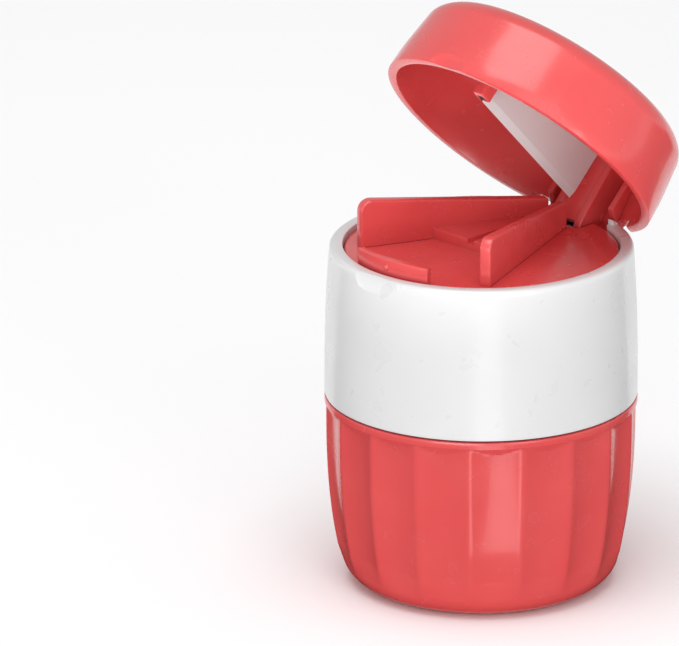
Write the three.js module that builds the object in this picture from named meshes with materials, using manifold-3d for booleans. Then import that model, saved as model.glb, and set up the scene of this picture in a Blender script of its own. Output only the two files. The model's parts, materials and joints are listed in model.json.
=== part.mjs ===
// A pill splitter and screw-down pill crusher, in millimetres, +Z up.
// The origin is the centre of the cup's foot. The catch is at the front (-Y) and the lid hinge at the back (+Y).
// The lid is modelled shut, then turned open about its hinge pin.
import * as THREE from "three";
import { mergeVertices } from "three/addons/utils/BufferGeometryUtils.js";
import Module from "manifold-3d";

const wasm = await Module();
wasm.setup();

// ---- Driving dimensions ----
const BODY_RADIUS = 30;
const CUP_HEIGHT = 37.4; // foot to the parting line
const SLEEVE_HEIGHT = 29.7;
const LID_HEIGHT = 16.7;
const LID_OPEN_DEG = 46;

const SEAM = 0.3; // gap between fixed pieces
const FIT = 0.35; // gap between running pieces
const ROUND = 48; // facets round a large turned piece
const THREAD_ROWS = 15;

const RIM_TAPER = 1; // how much smaller the rim is than the body
const SLEEVE_WALL = 2.5;
const LID_WALL = 2;

const FLUTES = 18;
const FLUTE_DEPTH = 1;
const BAND_HEIGHT = 1.45;
const FOOT_FILLET = 6.3;
const FOOT_INSET = 9.5; // from the body radius to the flat foot
const SHELL_FLOOR = 2.2;
const REBATE_DEPTH = 1.8;
const REBATE_WALL = 1.1;

const THREAD_LEAD = 9;
const THREAD_STARTS = 2;
const THREAD_DEPTH = 1.05;
const CARRIER_WALL = 1.7;
const NECK_WALL = 1.9;
const LIP_DROP = 15; // from the sleeve's rim down to the neck's lip
const SHOULDER_RISE = 1.5;
const CEILING = 1.7;

const CRUSH_FLOOR_Z = 12; // top of the liner's floor
const LINER_FLOOR = 1.6;
const PAN_WALL = 0.5;
const PAN_DEPTH = 7.6;
const ANVIL_THICKNESS = 0.8;
const PRESS_GAP = 0.5; // between the press plate and the anvil when screwed down
const PRESS_THICKNESS = 1.2;
const PLUNGER_WALL = 1.8;
const PLUNGER_PLAY = 1.9; // the plunger is this much smaller than the bore
const STUD_RADIUS = 2;
const SCREW_RADIUS = 1;
const SCREW_INSET = 1.1; // between the plunger's inner wall and a screw
const SCREWS = 3;

const THUMB = [8.2, 1.2, 3.3]; // radii of the scoop in the sleeve's rim
const SCALLOP = [4.8, 1.2, 2.5]; // radii of the scoop in the lid's front
const BED_DROP = 0.9; // bed floor below the rim
const BED_PLATE = 2;
const BED_SKIRT = 1.3;
const PLATFORM_RISE = 2.2;
const PLATFORM_FRONT = -3;
const GUIDE_REAR_INSET = 0.9; // from the hinge well to a guide wall's rear end
const GUIDE_REAR_SPREAD = 2; // half the distance between the guide walls' centre lines
const GUIDE_FRONT_SPREAD = 16.8;
const GUIDE_INSET = 2.8; // from the bed's edge to a guide wall's front end
const GUIDE_WALL = 2.2;
const GUIDE_TOP_REAR = 4.1; // above the rim
const GUIDE_TOP_FRONT = 8.7;
const GUIDE_CORNER = 2.4;
const TONGUE_HALF_DEG = 21;
const TONGUE_WALL = 1.5;
const TONGUE_TOP = 2.9;

const HINGE_Y_INSET = 5.3; // from the body radius to the pin
const HINGE_DROP = 3; // pin below the rim
const PIN_RADIUS = 1;
const NOTCH_HALF = 9.3;
const NOTCH_DEPTH = 8.2;
const HEEL_DEPTH = 5; // how far the lid's heel reaches down into the notch
const CHEEK = 3;
const CHEEK_RISE = 0.8; // cheek above the pin's axis, so that the pin snaps in from above
const FIN_HEIGHT = 1.1;
const FIN_ROOM = 0.7; // between a fin and the lid's rim above it
const ARM_INNER = 2.6;
const ARM_WIDTH = 1.7;
const ARM_REACH = 3.3; // from the pin's axis to an arm's front
const ARM_LEAN = 1;
const HUB_RADIUS = 2.9;
const KNUCKLE_GAP = 1; // between an arm and the bed beside it
const HOOK_DEG = 17; // from the lid's front to a hook under its rim

const BLADE_REAR_INSET = 5; // from the hinge pin to the blade's rear end
const BLADE_FRONT_INSET = 12.1; // from the lid's wall to the blade's front end
const BLADE_THICKNESS = 0.7;
const BLADE_BEVEL = 1.7;
const BLADE_LIFT = 0.7; // cutting edge above the lid's rim
const HOLDER_HEIGHT = 3.2;
const HOLDER_HALF = 2.2;
const CLIP_HALF = 1.3;

// ---- Sizes that follow ----
const RIM_Z = CUP_HEIGHT + SEAM + SLEEVE_HEIGHT;
const RIM_RADIUS = BODY_RADIUS - RIM_TAPER;
const LID_Z = RIM_Z + SEAM;
const LID_TOP = LID_Z + LID_HEIGHT;
const ROOF_Z = LID_TOP - LID_WALL;
const CARRIER_RADIUS = BODY_RADIUS - SLEEVE_WALL - 0.5;
const FEMALE_ROOT = CARRIER_RADIUS - CARRIER_WALL;
const NECK_RADIUS = FEMALE_ROOT - FIT - THREAD_DEPTH;
const BORE_RADIUS = NECK_RADIUS - NECK_WALL;
const LIP_Z = RIM_Z - LIP_DROP;
const CARRIER_Z = CUP_HEIGHT + SHOULDER_RISE + FIT;
const CEILING_Z = LIP_Z + 0.8;
const CARRIER_TOP = CEILING_Z + CEILING;
const REBATE_RADIUS = BODY_RADIUS - REBATE_WALL;
const PAN_RADIUS = BORE_RADIUS - SEAM;
const PAN_Z = CRUSH_FLOOR_Z + SEAM;
const ANVIL_RADIUS = PAN_RADIUS - PAN_WALL - 0.9;
const ANVIL_Z = PAN_Z + PAN_WALL + SEAM;
const PRESS_Z = ANVIL_Z + ANVIL_THICKNESS + PRESS_GAP;
const PLUNGER_RADIUS = BORE_RADIUS - PLUNGER_PLAY;
const PLUNGER_Z = PRESS_Z + PRESS_THICKNESS + SEAM;
const PLUNGER_TOP = CEILING_Z - SEAM;
const SCREW_CIRCLE = PLUNGER_RADIUS - PLUNGER_WALL - SCREW_RADIUS - SCREW_INSET;
const BED_RADIUS = RIM_RADIUS - SLEEVE_WALL - SEAM;
const BED_Z = RIM_Z - BED_DROP;
const PLATFORM_Z = BED_Z + PLATFORM_RISE;
const HINGE_Y = BODY_RADIUS - HINGE_Y_INSET;
const HINGE_Z = RIM_Z - HINGE_DROP;
const WELL_HALF = NOTCH_HALF + CHEEK + 2 * SEAM;
const WELL_FRONT = HINGE_Y - ARM_REACH - 2 * SEAM;
const WELL_ROOF = HINGE_Z + PIN_RADIUS + SEAM;
const WELL_Z = RIM_Z - NOTCH_DEPTH - 0.5;
const GUIDE_REAR = [GUIDE_REAR_SPREAD, WELL_FRONT - GUIDE_REAR_INSET];
const GUIDE_REACH = BED_RADIUS - GUIDE_INSET;
const GUIDE_FRONT = [GUIDE_FRONT_SPREAD, -Math.sqrt(GUIDE_REACH ** 2 - GUIDE_FRONT_SPREAD ** 2)];
const BLADE_REAR = HINGE_Y - BLADE_REAR_INSET;
const BLADE_FRONT = BLADE_FRONT_INSET + LID_WALL - RIM_RADIUS;
const BLADE_LENGTH = BLADE_REAR - BLADE_FRONT;
const BLADE_Z = LID_Z + BLADE_LIFT;
const BLADE_TOP = ROOF_Z - 1.7;
const BLADE_PIN_Z = ROOF_Z - HOLDER_HEIGHT / 2 - SEAM - 0.75;
const HEEL_HALF = NOTCH_HALF - 0.4;

// ---- Finishes ----
const coralAbs = () => new THREE.MeshStandardMaterial({ color: 0xe8474a, roughness: 0.25 });
const whiteAbs = () => new THREE.MeshStandardMaterial({ color: 0xf1f1f1, roughness: 0.25 });
const steel = () => new THREE.MeshStandardMaterial({ color: 0xc9ccd0, roughness: 0.2, metalness: 1 });

// ---- Solids ----
/** A manifold solid from a closed three.js geometry. */
function solid(geometry) {
  const bare = geometry.clone();
  bare.deleteAttribute("normal");
  bare.deleteAttribute("uv");
  const merged = mergeVertices(bare, 1e-4);
  const corners = merged.index.array;
  const kept = [];
  for (let i = 0; i < corners.length; i += 3) {
    const [a, b, c] = corners.subarray(i, i + 3);
    if (a !== b && b !== c && c !== a) kept.push(a, b, c);
  }
  const vertProperties = merged.attributes.position.array;
  return new wasm.Manifold(new wasm.Mesh({ numProp: 3, vertProperties, triVerts: new Uint32Array(kept) }));
}

/** A named mesh of a manifold solid, with a material of its own. */
function part(name, shape, material) {
  const data = shape.getMesh();
  const geometry = new THREE.BufferGeometry();
  geometry.setAttribute("position", new THREE.BufferAttribute(data.vertProperties, 3));
  geometry.setIndex(new THREE.BufferAttribute(data.triVerts, 1));
  geometry.computeVertexNormals();
  const mesh = new THREE.Mesh(geometry, material);
  mesh.name = name;
  return mesh;
}

/** Turns a profile of [radius, z] about Z; angle 0 is the front. shape(row, angle, r) may change a radius. */
function turned(profile, segments, shape = (row, angle, r) => r) {
  const points = profile.map(([r, z]) => new THREE.Vector2(r, z));
  const geometry = new THREE.LatheGeometry(points, segments);
  const position = geometry.attributes.position;
  for (let i = 0; i <= segments; i++) {
    const angle = ((i % segments) / segments) * 2 * Math.PI;
    for (let row = 0; row < points.length; row++) {
      const r = shape(row, angle, points[row].x);
      position.setXYZ(i * points.length + row, r * Math.sin(angle), -r * Math.cos(angle), points[row].y);
    }
  }
  return solid(geometry);
}

/** A box between two corners. */
function block([x0, y0, z0], [x1, y1, z1]) {
  const geometry = new THREE.BoxGeometry(x1 - x0, y1 - y0, z1 - z0);
  return solid(geometry.translate((x0 + x1) / 2, (y0 + y1) / 2, (z0 + z1) / 2));
}

/** An upright cylinder. */
function post(x, y, z0, z1, radius, segments = 16) {
  return turned([[0, z0], [radius, z0], [radius, z1], [0, z1]], segments).translate([x, y, 0]);
}

/** A cylinder along X, centred on x = 0. */
function crossPin(y, z, radius, length, segments = 16) {
  const geometry = new THREE.CylinderGeometry(radius, radius, length, segments).rotateZ(Math.PI / 2);
  return solid(geometry.translate(0, y, z));
}

/** An ellipsoid, used for scooped recesses and small bumps. */
function ellipsoid([x, y, z], [rx, ry, rz], segments = 16) {
  const geometry = new THREE.SphereGeometry(1, segments, segments / 2).scale(rx, ry, rz);
  return solid(geometry.translate(x, y, z));
}

/** An outline of [y, z] points extruded along X from x0 to x1. */
function sideways(outline, x0, x1) {
  const shape = new THREE.Shape(outline.map(([y, z]) => new THREE.Vector2(y, z)));
  const geometry = new THREE.ExtrudeGeometry(shape, { depth: x1 - x0, bevelEnabled: false });
  geometry.applyMatrix4(new THREE.Matrix4().set(0, 0, 1, x0, 1, 0, 0, 0, 0, 1, 0, 0, 0, 0, 0, 1));
  return solid(geometry);
}

/** Points of an arc about [r, z], in degrees from +r towards +z. */
function arc([r, z], radius, from, to, steps) {
  return Array.from({ length: steps + 1 }, (_, i) => {
    const a = THREE.MathUtils.degToRad(from + ((to - from) * i) / steps);
    return [r + radius * Math.cos(a), z + radius * Math.sin(a)];
  });
}

/** How far the two-start right-hand thread stands out, from 0 to 1, at an angle and a height. */
function threadRidge(angle, z) {
  const turns = (z / THREAD_LEAD - angle / (2 * Math.PI)) * THREAD_STARTS;
  return 0.5 + 0.5 * Math.cos(2 * Math.PI * turns);
}

/** Evenly spaced heights from one z to another, both included. */
function heights(from, to, steps) {
  return Array.from({ length: steps + 1 }, (_, i) => from + ((to - from) * i) / steps);
}

// ---- Cup ----
/** Fluted outer shell, with a rebate at the top for the liner's flange. */
function flutedShell() {
  const fluteTop = CUP_HEIGHT - BAND_HEIGHT;
  const foot = BODY_RADIUS - FOOT_INSET;
  const outside = [
    ...arc([foot, FOOT_FILLET], FOOT_FILLET, -90, -18, 5),
    [BODY_RADIUS - 2.35, FOOT_FILLET + 1.4],
    [BODY_RADIUS - 1.1, CUP_HEIGHT * 0.44],
    [BODY_RADIUS - 0.45, CUP_HEIGHT * 0.8],
    [BODY_RADIUS - 0.25, fluteTop - 1.25],
    [BODY_RADIUS - 0.2, fluteTop],
    [BODY_RADIUS, fluteTop + 0.1],
    [BODY_RADIUS, CUP_HEIGHT],
  ];
  const inside = [
    [REBATE_RADIUS, CUP_HEIGHT],
    [REBATE_RADIUS, CUP_HEIGHT - REBATE_DEPTH],
    [REBATE_RADIUS - 1.6, CUP_HEIGHT - REBATE_DEPTH],
    [BODY_RADIUS - 3.7, CUP_HEIGHT * 0.44],
    [BODY_RADIUS - 5, FOOT_FILLET + 1.4],
    [foot + 0.5, SHELL_FLOOR],
    [0, SHELL_FLOOR],
  ];
  const profile = [[0, 0], ...outside, ...inside];
  const fade = (z) => THREE.MathUtils.smoothstep(z, FOOT_FILLET - 3.5, FOOT_FILLET + 1.4);
  return turned(profile, FLUTES * 4, (row, angle, r) => {
    if (row === 0 || row > outside.length) return r;
    const z = profile[row][1];
    if (z > fluteTop - 1) return r;
    const hollow = Math.abs(Math.sin((angle * FLUTES) / 2)) ** 0.8;
    return r - FLUTE_DEPTH * hollow * fade(z);
  });
}

/** Liner: crushing bore, shoulder flange and the threaded neck. */
function cupLiner() {
  const flangeZ = CUP_HEIGHT - REBATE_DEPTH + SEAM;
  const flange = REBATE_RADIUS - SEAM;
  const shoulder = CUP_HEIGHT + SHOULDER_RISE;
  const neck = heights(shoulder + 0.1, LIP_Z - 1, THREAD_ROWS).map((z) => [NECK_RADIUS, z]);
  const below = [
    [0, CRUSH_FLOOR_Z - LINER_FLOOR],
    [NECK_RADIUS - 1.2, CRUSH_FLOOR_Z - LINER_FLOOR],
    [NECK_RADIUS, CRUSH_FLOOR_Z],
    [NECK_RADIUS, flangeZ],
    [flange, flangeZ],
    [flange, CUP_HEIGHT],
    [BODY_RADIUS - SLEEVE_WALL - SEAM, CUP_HEIGHT],
    [BODY_RADIUS - SLEEVE_WALL - SEAM - 1, CUP_HEIGHT + 0.7 * SHOULDER_RISE],
    [NECK_RADIUS + 0.8, shoulder],
  ];
  const lip = [
    [NECK_RADIUS - 0.5, LIP_Z],
    [BORE_RADIUS + 0.7, LIP_Z],
    [BORE_RADIUS, LIP_Z - 0.8],
    [BORE_RADIUS, CRUSH_FLOOR_Z],
    [0, CRUSH_FLOOR_Z],
  ];
  const profile = [...below, ...neck, ...lip];
  return turned(profile, ROUND, (row, angle, r) => {
    if (row < below.length || row >= below.length + neck.length) return r;
    const z = profile[row][1];
    const runIn = THREE.MathUtils.smoothstep(z, shoulder, shoulder + 2);
    const runOut = 1 - THREE.MathUtils.smoothstep(z, LIP_Z - 3.2, LIP_Z - 1);
    return r + THREAD_DEPTH * threadRidge(angle, z) * runIn * runOut;
  });
}

/** Pressed steel pan at the bottom of the bore. */
function crushPan() {
  const inner = PAN_RADIUS - PAN_WALL;
  const top = PAN_Z + PAN_DEPTH;
  return turned(
    [
      [0, PAN_Z],
      [PAN_RADIUS - 0.6, PAN_Z],
      [PAN_RADIUS, PAN_Z + 0.6],
      [PAN_RADIUS, top],
      [inner, top],
      [inner, PAN_Z + PAN_WALL],
      [0, PAN_Z + PAN_WALL],
    ],
    ROUND,
  );
}

// ---- Press and screw ----
/** Steel press plate with the stud that it spins on. */
function pressPlate() {
  return turned(
    [
      [0, PRESS_Z],
      [ANVIL_RADIUS - 0.3, PRESS_Z],
      [ANVIL_RADIUS, PRESS_Z + 0.3],
      [ANVIL_RADIUS, PRESS_Z + PRESS_THICKNESS],
      [STUD_RADIUS, PRESS_Z + PRESS_THICKNESS],
      [STUD_RADIUS, PLUNGER_Z + PLUNGER_WALL + 3],
      [0, PLUNGER_Z + PLUNGER_WALL + 3],
    ],
    36,
  );
}

/** Retaining ring that keeps the stud in the plunger. */
function pressRetainer() {
  const z = PLUNGER_Z + PLUNGER_WALL + SEAM;
  const inner = STUD_RADIUS + SEAM;
  return turned([[inner, z], [inner + 2.2, z], [inner + 2.2, z + 1], [inner, z + 1], [inner, z]], 20);
}

/** Centres of the plunger's screws. */
function screwPlaces() {
  return Array.from({ length: SCREWS }, (_, i) => {
    const a = (i / SCREWS) * 2 * Math.PI;
    return [SCREW_CIRCLE * Math.sin(a), -SCREW_CIRCLE * Math.cos(a)];
  });
}

/** Hollow plunger that carries the press plate down the bore. */
function plunger() {
  const inner = PLUNGER_RADIUS - PLUNGER_WALL;
  const hole = STUD_RADIUS + FIT;
  let shape = turned(
    [
      [hole, PLUNGER_Z],
      [PLUNGER_RADIUS - 0.6, PLUNGER_Z],
      [PLUNGER_RADIUS, PLUNGER_Z + 0.6],
      [PLUNGER_RADIUS, PLUNGER_TOP],
      [inner, PLUNGER_TOP],
      [inner, PLUNGER_Z + PLUNGER_WALL],
      [hole, PLUNGER_Z + PLUNGER_WALL],
      [hole, PLUNGER_Z],
    ],
    36,
  );
  for (const [x, y] of screwPlaces()) {
    shape = shape.add(post(x, y, PLUNGER_TOP - 10, PLUNGER_TOP, SCREW_RADIUS + 1.6, 12));
  }
  for (const [x, y] of screwPlaces()) {
    shape = shape.subtract(post(x, y, PLUNGER_TOP - 9, PLUNGER_TOP + 1, SCREW_RADIUS + SEAM, 12));
  }
  return shape;
}

/** Screw that holds the plunger up against the carrier's ceiling. */
function plungerScrew([x, y]) {
  const under = CARRIER_TOP + SEAM;
  const profile = [
    [0, PLUNGER_TOP - 8],
    [SCREW_RADIUS, PLUNGER_TOP - 8],
    [SCREW_RADIUS, under],
    [SCREW_RADIUS * 2.2, under],
    [SCREW_RADIUS * 2.2, under + 1.1],
    [SCREW_RADIUS * 1.4, under + 1.5],
    [0, under + 1.5],
  ];
  return turned(profile, 12).translate([x, y, 0]);
}

/** Threaded carrier: the screw's nut, closed by a ceiling that the plunger hangs from. */
function threadCarrier() {
  const rows = heights(CEILING_Z, CARRIER_Z, THREAD_ROWS);
  const wall = rows.map((z) => [NECK_RADIUS + FIT, z]);
  const profile = [
    [0, CEILING_Z],
    ...wall,
    [CARRIER_RADIUS, CARRIER_Z],
    [CARRIER_RADIUS, CARRIER_TOP],
    [0, CARRIER_TOP],
  ];
  let shape = turned(profile, ROUND, (row, angle, r) => {
    if (row < 1 || row > wall.length) return r;
    return r + THREAD_DEPTH * threadRidge(angle, profile[row][1]);
  });
  for (const [x, y] of screwPlaces()) {
    shape = shape.subtract(post(x, y, CEILING_Z - 1, CARRIER_TOP + 1, SCREW_RADIUS + SEAM, 12));
  }
  return shape;
}

// ---- Sleeve and cutting bed ----
/** Outer sleeve, with the hinge notch, its two cheeks and the thumb recess. */
function outerSleeve() {
  const bottom = CUP_HEIGHT + SEAM;
  const out = (taper, share) => [BODY_RADIUS - taper, bottom + SLEEVE_HEIGHT * share];
  const inn = (taper, share) => [BODY_RADIUS - SLEEVE_WALL - taper, bottom + SLEEVE_HEIGHT * share];
  const outside = [out(0, 0), out(0.05, 0.3), out(0.22, 0.6), out(0.6, 0.86), out(RIM_TAPER - 0.1, 0.97)];
  const rim = [[RIM_RADIUS - 0.25, RIM_Z - 0.3], [RIM_RADIUS - 0.9, RIM_Z], [BED_RADIUS + SEAM + 0.3, RIM_Z]];
  const inside = [[BED_RADIUS + SEAM, RIM_Z - 0.3], inn(0.7, 0.86), inn(0.22, 0.6), inn(0, 0)];
  const profile = [...outside, ...rim, ...inside, outside[0]];
  let shape = turned(profile, ROUND);
  for (const side of [-1, 1]) {
    const x = [side * NOTCH_HALF, side * (NOTCH_HALF + CHEEK)].sort((a, b) => a - b);
    const top = HINGE_Z + CHEEK_RISE;
    const cheek = block([x[0], HINGE_Y - 3.3, HINGE_Z - 3.2], [x[1], HINGE_Y + 1.2, top]);
    const foot = [side * NOTCH_HALF, side * (NOTCH_HALF + 1.4)].sort((a, b) => a - b);
    const edge = Math.sqrt(RIM_RADIUS ** 2 - (NOTCH_HALF + 1.4) ** 2);
    const fin = block([foot[0], edge - 1.9, RIM_Z - 1], [foot[1], edge - 0.5, RIM_Z + FIN_HEIGHT]);
    shape = shape.add(cheek.intersect(post(0, 0, WELL_Z, RIM_Z, RIM_RADIUS, ROUND))).add(fin);
  }
  const notch = block([-NOTCH_HALF, 0, RIM_Z - NOTCH_DEPTH], [NOTCH_HALF, BODY_RADIUS + 5, RIM_Z + 5]);
  const pinHole = crossPin(HINGE_Y, HINGE_Z, PIN_RADIUS + 0.15, 2 * (NOTCH_HALF + CHEEK - 0.6));
  const thumb = ellipsoid([0, -(RIM_RADIUS + 0.4), RIM_Z], THUMB);
  return shape.subtract(notch).subtract(pinHole).subtract(thumb);
}

/** Cutting bed: floor, skirt, raised platform with the blade's groove, and the hinge well. */
function cutterBed() {
  const under = BED_Z - BED_PLATE;
  const foot = CARRIER_TOP + SEAM;
  const disc = turned(
    [
      [0, under],
      [BED_RADIUS - BED_SKIRT, under],
      [BED_RADIUS - BED_SKIRT, foot],
      [BED_RADIUS, foot],
      [BED_RADIUS, BED_Z - 0.4],
      [BED_RADIUS - 0.4, BED_Z],
      [0, BED_Z],
    ],
    ROUND,
  );
  const spread = (y) => {
    const [rx, ry] = GUIDE_REAR;
    const [fx, fy] = GUIDE_FRONT;
    return rx + ((fx - rx) * (ry - y)) / (ry - fy) + GUIDE_WALL / 2;
  };
  const rear = WELL_FRONT - SEAM;
  const outline = [
    [-spread(rear), rear],
    [-spread(PLATFORM_FRONT), PLATFORM_FRONT],
    [spread(PLATFORM_FRONT), PLATFORM_FRONT],
    [spread(rear), rear],
  ];
  const shape = new THREE.Shape(outline.map(([x, y]) => new THREE.Vector2(x, y)));
  const rise = { depth: PLATFORM_RISE + 0.5, bevelEnabled: false };
  const platform = solid(new THREE.ExtrudeGeometry(shape, rise).translate(0, 0, BED_Z - 0.5));
  const half = WELL_HALF + 1.2;
  const tub = block([-half, WELL_FRONT - 1.2, WELL_Z - 1.2], [half, BED_RADIUS + 1, BED_Z]);
  const within = post(0, 0, foot, RIM_Z, BED_RADIUS, ROUND);
  const well = block([-WELL_HALF, WELL_FRONT, WELL_Z], [WELL_HALF, BODY_RADIUS + 1, WELL_ROOF]);
  const side = ARM_INNER + ARM_WIDTH + KNUCKLE_GAP;
  const knuckles = block([-side, WELL_FRONT, WELL_Z], [side, BODY_RADIUS + 1, RIM_Z]);
  const groove = block([-0.9, BLADE_FRONT, BLADE_Z - 0.6], [0.9, BODY_RADIUS, RIM_Z + 5]);
  return disc.add(platform).add(tub.intersect(within)).subtract(well).subtract(knuckles).subtract(groove);
}

/** One of the two walls that centre a pill under the blade: side is -1 for left, 1 for right. */
function guideWall(side) {
  const [rx, ry] = GUIDE_REAR;
  const [fx, fy] = GUIDE_FRONT;
  const length = Math.hypot(fx - rx, fy - ry);
  const step = (length * (ry - PLATFORM_FRONT + 0.9)) / (ry - fy);
  const top = RIM_Z + GUIDE_TOP_FRONT;
  const outline = new THREE.Shape();
  outline.moveTo(0, PLATFORM_Z + SEAM);
  outline.lineTo(step, PLATFORM_Z + SEAM);
  outline.lineTo(step, BED_Z + SEAM);
  outline.lineTo(length, BED_Z + SEAM);
  outline.lineTo(length, top - GUIDE_CORNER);
  outline.quadraticCurveTo(length, top, length - GUIDE_CORNER, top);
  outline.lineTo(0, RIM_Z + GUIDE_TOP_REAR);
  const extrude = { depth: GUIDE_WALL, bevelEnabled: false, curveSegments: 5 };
  const geometry = new THREE.ExtrudeGeometry(outline, extrude).translate(0, 0, -GUIDE_WALL / 2);
  geometry.rotateX(Math.PI / 2).rotateZ(Math.atan2(fy - ry, side * (fx - rx)));
  return solid(geometry.translate(side * rx, ry, 0));
}

/** Curved catch tongue at the front of the bed, with the small bump that the lid snaps over. */
function catchTongue() {
  const outer = RIM_RADIUS - SLEEVE_WALL - 0.7;
  const half = THREE.MathUtils.degToRad(TONGUE_HALF_DEG);
  const outline = new THREE.Shape();
  outline.absarc(0, 0, outer, -Math.PI / 2 - half, -Math.PI / 2 + half, false);
  outline.absarc(0, 0, outer - TONGUE_WALL, -Math.PI / 2 + half, -Math.PI / 2 - half, true);
  const foot = BED_Z + SEAM;
  const extrude = { depth: RIM_Z + TONGUE_TOP - foot, bevelEnabled: false, curveSegments: 10 };
  const plate = solid(new THREE.ExtrudeGeometry(outline, extrude).translate(0, 0, foot));
  return plate.add(ellipsoid([0, -outer, RIM_Z + 1.2], [0.6, 0.5, 0.6], 12));
}

// ---- Lid, modelled shut ----
/** Lid shell with its hinge arms, ribs, heel, catch and front scallop. */
function lidShell() {
  const r = RIM_RADIUS;
  const outside = [
    [r - 0.4, LID_Z],
    [r, LID_Z + 0.4],
    [r - 0.25, LID_Z + 0.3 * LID_HEIGHT],
    [r - 1, LID_TOP - 4.5],
    [r - 1.5, LID_TOP - 3],
    [r - 2.6, LID_TOP - 1.6],
    [r - 4.2, LID_TOP - 0.6],
    [r - 6.5, LID_TOP],
    [0, LID_TOP],
  ];
  const inside = [
    [0, ROOF_Z],
    [r - 7, ROOF_Z],
    [r - 4.8, ROOF_Z - 0.7],
    [r - 3.2, LID_TOP - 4.5],
    [r - LID_WALL - 0.25, LID_Z + 0.3 * LID_HEIGHT],
    [r - LID_WALL, LID_Z + 0.4],
    [r - LID_WALL + 0.2, LID_Z],
  ];
  let shape = turned([...inside, ...outside], ROUND);
  const front = HINGE_Y - ARM_REACH;
  const armOutline = [
    [front - ARM_LEAN, ROOF_Z + 0.5],
    [front, HINGE_Z + 0.6],
    ...arc([HINGE_Y, HINGE_Z], HUB_RADIUS, 200, 360, 8),
    [RIM_RADIUS - 1.2, LID_Z],
    [RIM_RADIUS - 1.5, LID_TOP - 6],
    [RIM_RADIUS - 4, ROOF_Z + 0.5],
  ];
  const back = HINGE_Y + 2.3;
  const ribFront = back - 4.5;
  const ribOutline = [[ribFront, ROOF_Z + 0.5], [ribFront, LID_Z + 2], [back - 1, LID_Z], [back - 1, ROOF_Z]];
  for (const side of [-1, 1]) {
    const span = (from, width) => [side * from, side * (from + width)].sort((a, b) => a - b);
    shape = shape.add(sideways(armOutline, ...span(ARM_INNER, ARM_WIDTH)));
    shape = shape.add(sideways(ribOutline, ...span(HEEL_HALF - 1.6, 1.4)));
  }
  const plateOutline = [
    [front - ARM_LEAN, ROOF_Z + 0.5],
    [front + 0.3, HINGE_Z + 0.6],
    [front + 1.5, HINGE_Z + 0.6],
    [front - ARM_LEAN + 1.2, ROOF_Z + 0.5],
  ];
  const plate = sideways(plateOutline, -ARM_INNER - 0.5, ARM_INNER + 0.5);
  const heelZ = RIM_Z + SEAM - HEEL_DEPTH;
  const inner = r - LID_WALL;
  const band = [[inner, heelZ], [r - 0.4, heelZ], [r, heelZ + 0.4], [r, LID_Z + 1], [inner, LID_Z + 1]];
  const ring = turned([...band, band[0]], ROUND);
  const heel = ring.intersect(block([-HEEL_HALF, 0, heelZ - 1], [HEEL_HALF, r + 1, LID_Z + 2]));
  const snap = ellipsoid([0, -(inner + 0.45), LID_Z + 1.4], [0.9, 0.8, 0.8], 12);
  shape = shape.add(plate).add(snap);
  for (const side of [-1, 1]) {
    const hook = ellipsoid([0, -(inner + 0.05), LID_Z + 1], [1.1, 0.95, 0.6], 12);
    shape = shape.add(hook.rotate([0, 0, side * HOOK_DEG]));
    const x = [side * HEEL_HALF, side * (NOTCH_HALF + CHEEK + 0.5)].sort((a, b) => a - b);
    shape = shape.subtract(block([x[0], 0, LID_Z - 1], [x[1], r + 1, RIM_Z + FIN_HEIGHT + FIN_ROOM]));
  }
  const scallop = ellipsoid([0, -(r + 0.3), LID_Z + 0.3], SCALLOP);
  const pinHole = crossPin(HINGE_Y, HINGE_Z, PIN_RADIUS + 0.15, 2 * HEEL_HALF);
  return shape.add(heel).subtract(pinHole).subtract(scallop);
}

/** Where the blade's two cross pins go along the blade. */
function bladePinPlaces() {
  return [BLADE_FRONT + 0.25 * BLADE_LENGTH, BLADE_FRONT + 0.75 * BLADE_LENGTH];
}

/** Blade: a bevelled strip, with its front corner cut back where the clip holds it. */
function blade() {
  const half = BLADE_THICKNESS / 2;
  const section = new THREE.Shape([
    new THREE.Vector2(0, BLADE_Z),
    new THREE.Vector2(half, BLADE_Z + BLADE_BEVEL),
    new THREE.Vector2(half, BLADE_TOP),
    new THREE.Vector2(-half, BLADE_TOP),
    new THREE.Vector2(-half, BLADE_Z + BLADE_BEVEL),
  ]);
  const geometry = new THREE.ExtrudeGeometry(section, { depth: BLADE_LENGTH, bevelEnabled: false });
  let shape = solid(geometry.rotateX(Math.PI / 2).translate(0, BLADE_REAR, 0));
  shape = shape.subtract(block([-2, BLADE_FRONT - 1, BLADE_Z + 3], [2, BLADE_FRONT + 1, BLADE_TOP + 1]));
  for (const y of bladePinPlaces()) {
    shape = shape.subtract(crossPin(y, BLADE_PIN_Z, 0.9, 6, 12));
  }
  return shape;
}

/** Slotted rail under the roof that the blade's back is pinned into. */
function bladeHolder() {
  const top = ROOF_Z - SEAM;
  const rail = block([-HOLDER_HALF, BLADE_FRONT + 2, top - HOLDER_HEIGHT], [HOLDER_HALF, BLADE_REAR - 1, top]);
  const slot = block([-0.65, BLADE_FRONT, top - HOLDER_HEIGHT - 1], [0.65, BLADE_REAR + 1, BLADE_TOP + SEAM]);
  let shape = rail.subtract(slot);
  for (const y of bladePinPlaces()) {
    shape = shape.subtract(crossPin(y, BLADE_PIN_Z, 0.9, 6, 12));
  }
  return shape;
}

/** Post that clips over the blade's front end. */
function bladeClip() {
  const front = BLADE_FRONT - SEAM;
  const body = block([-CLIP_HALF, front - 2.2, BLADE_Z + 0.4], [CLIP_HALF, front + 0.9, ROOF_Z - SEAM]);
  const room = block([-0.65, front - 0.9, BLADE_Z - 1], [0.65, front + 2, ROOF_Z - 2.5]);
  return body.subtract(room);
}

// ---- Assembly ----
const group = new THREE.Group();

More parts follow.
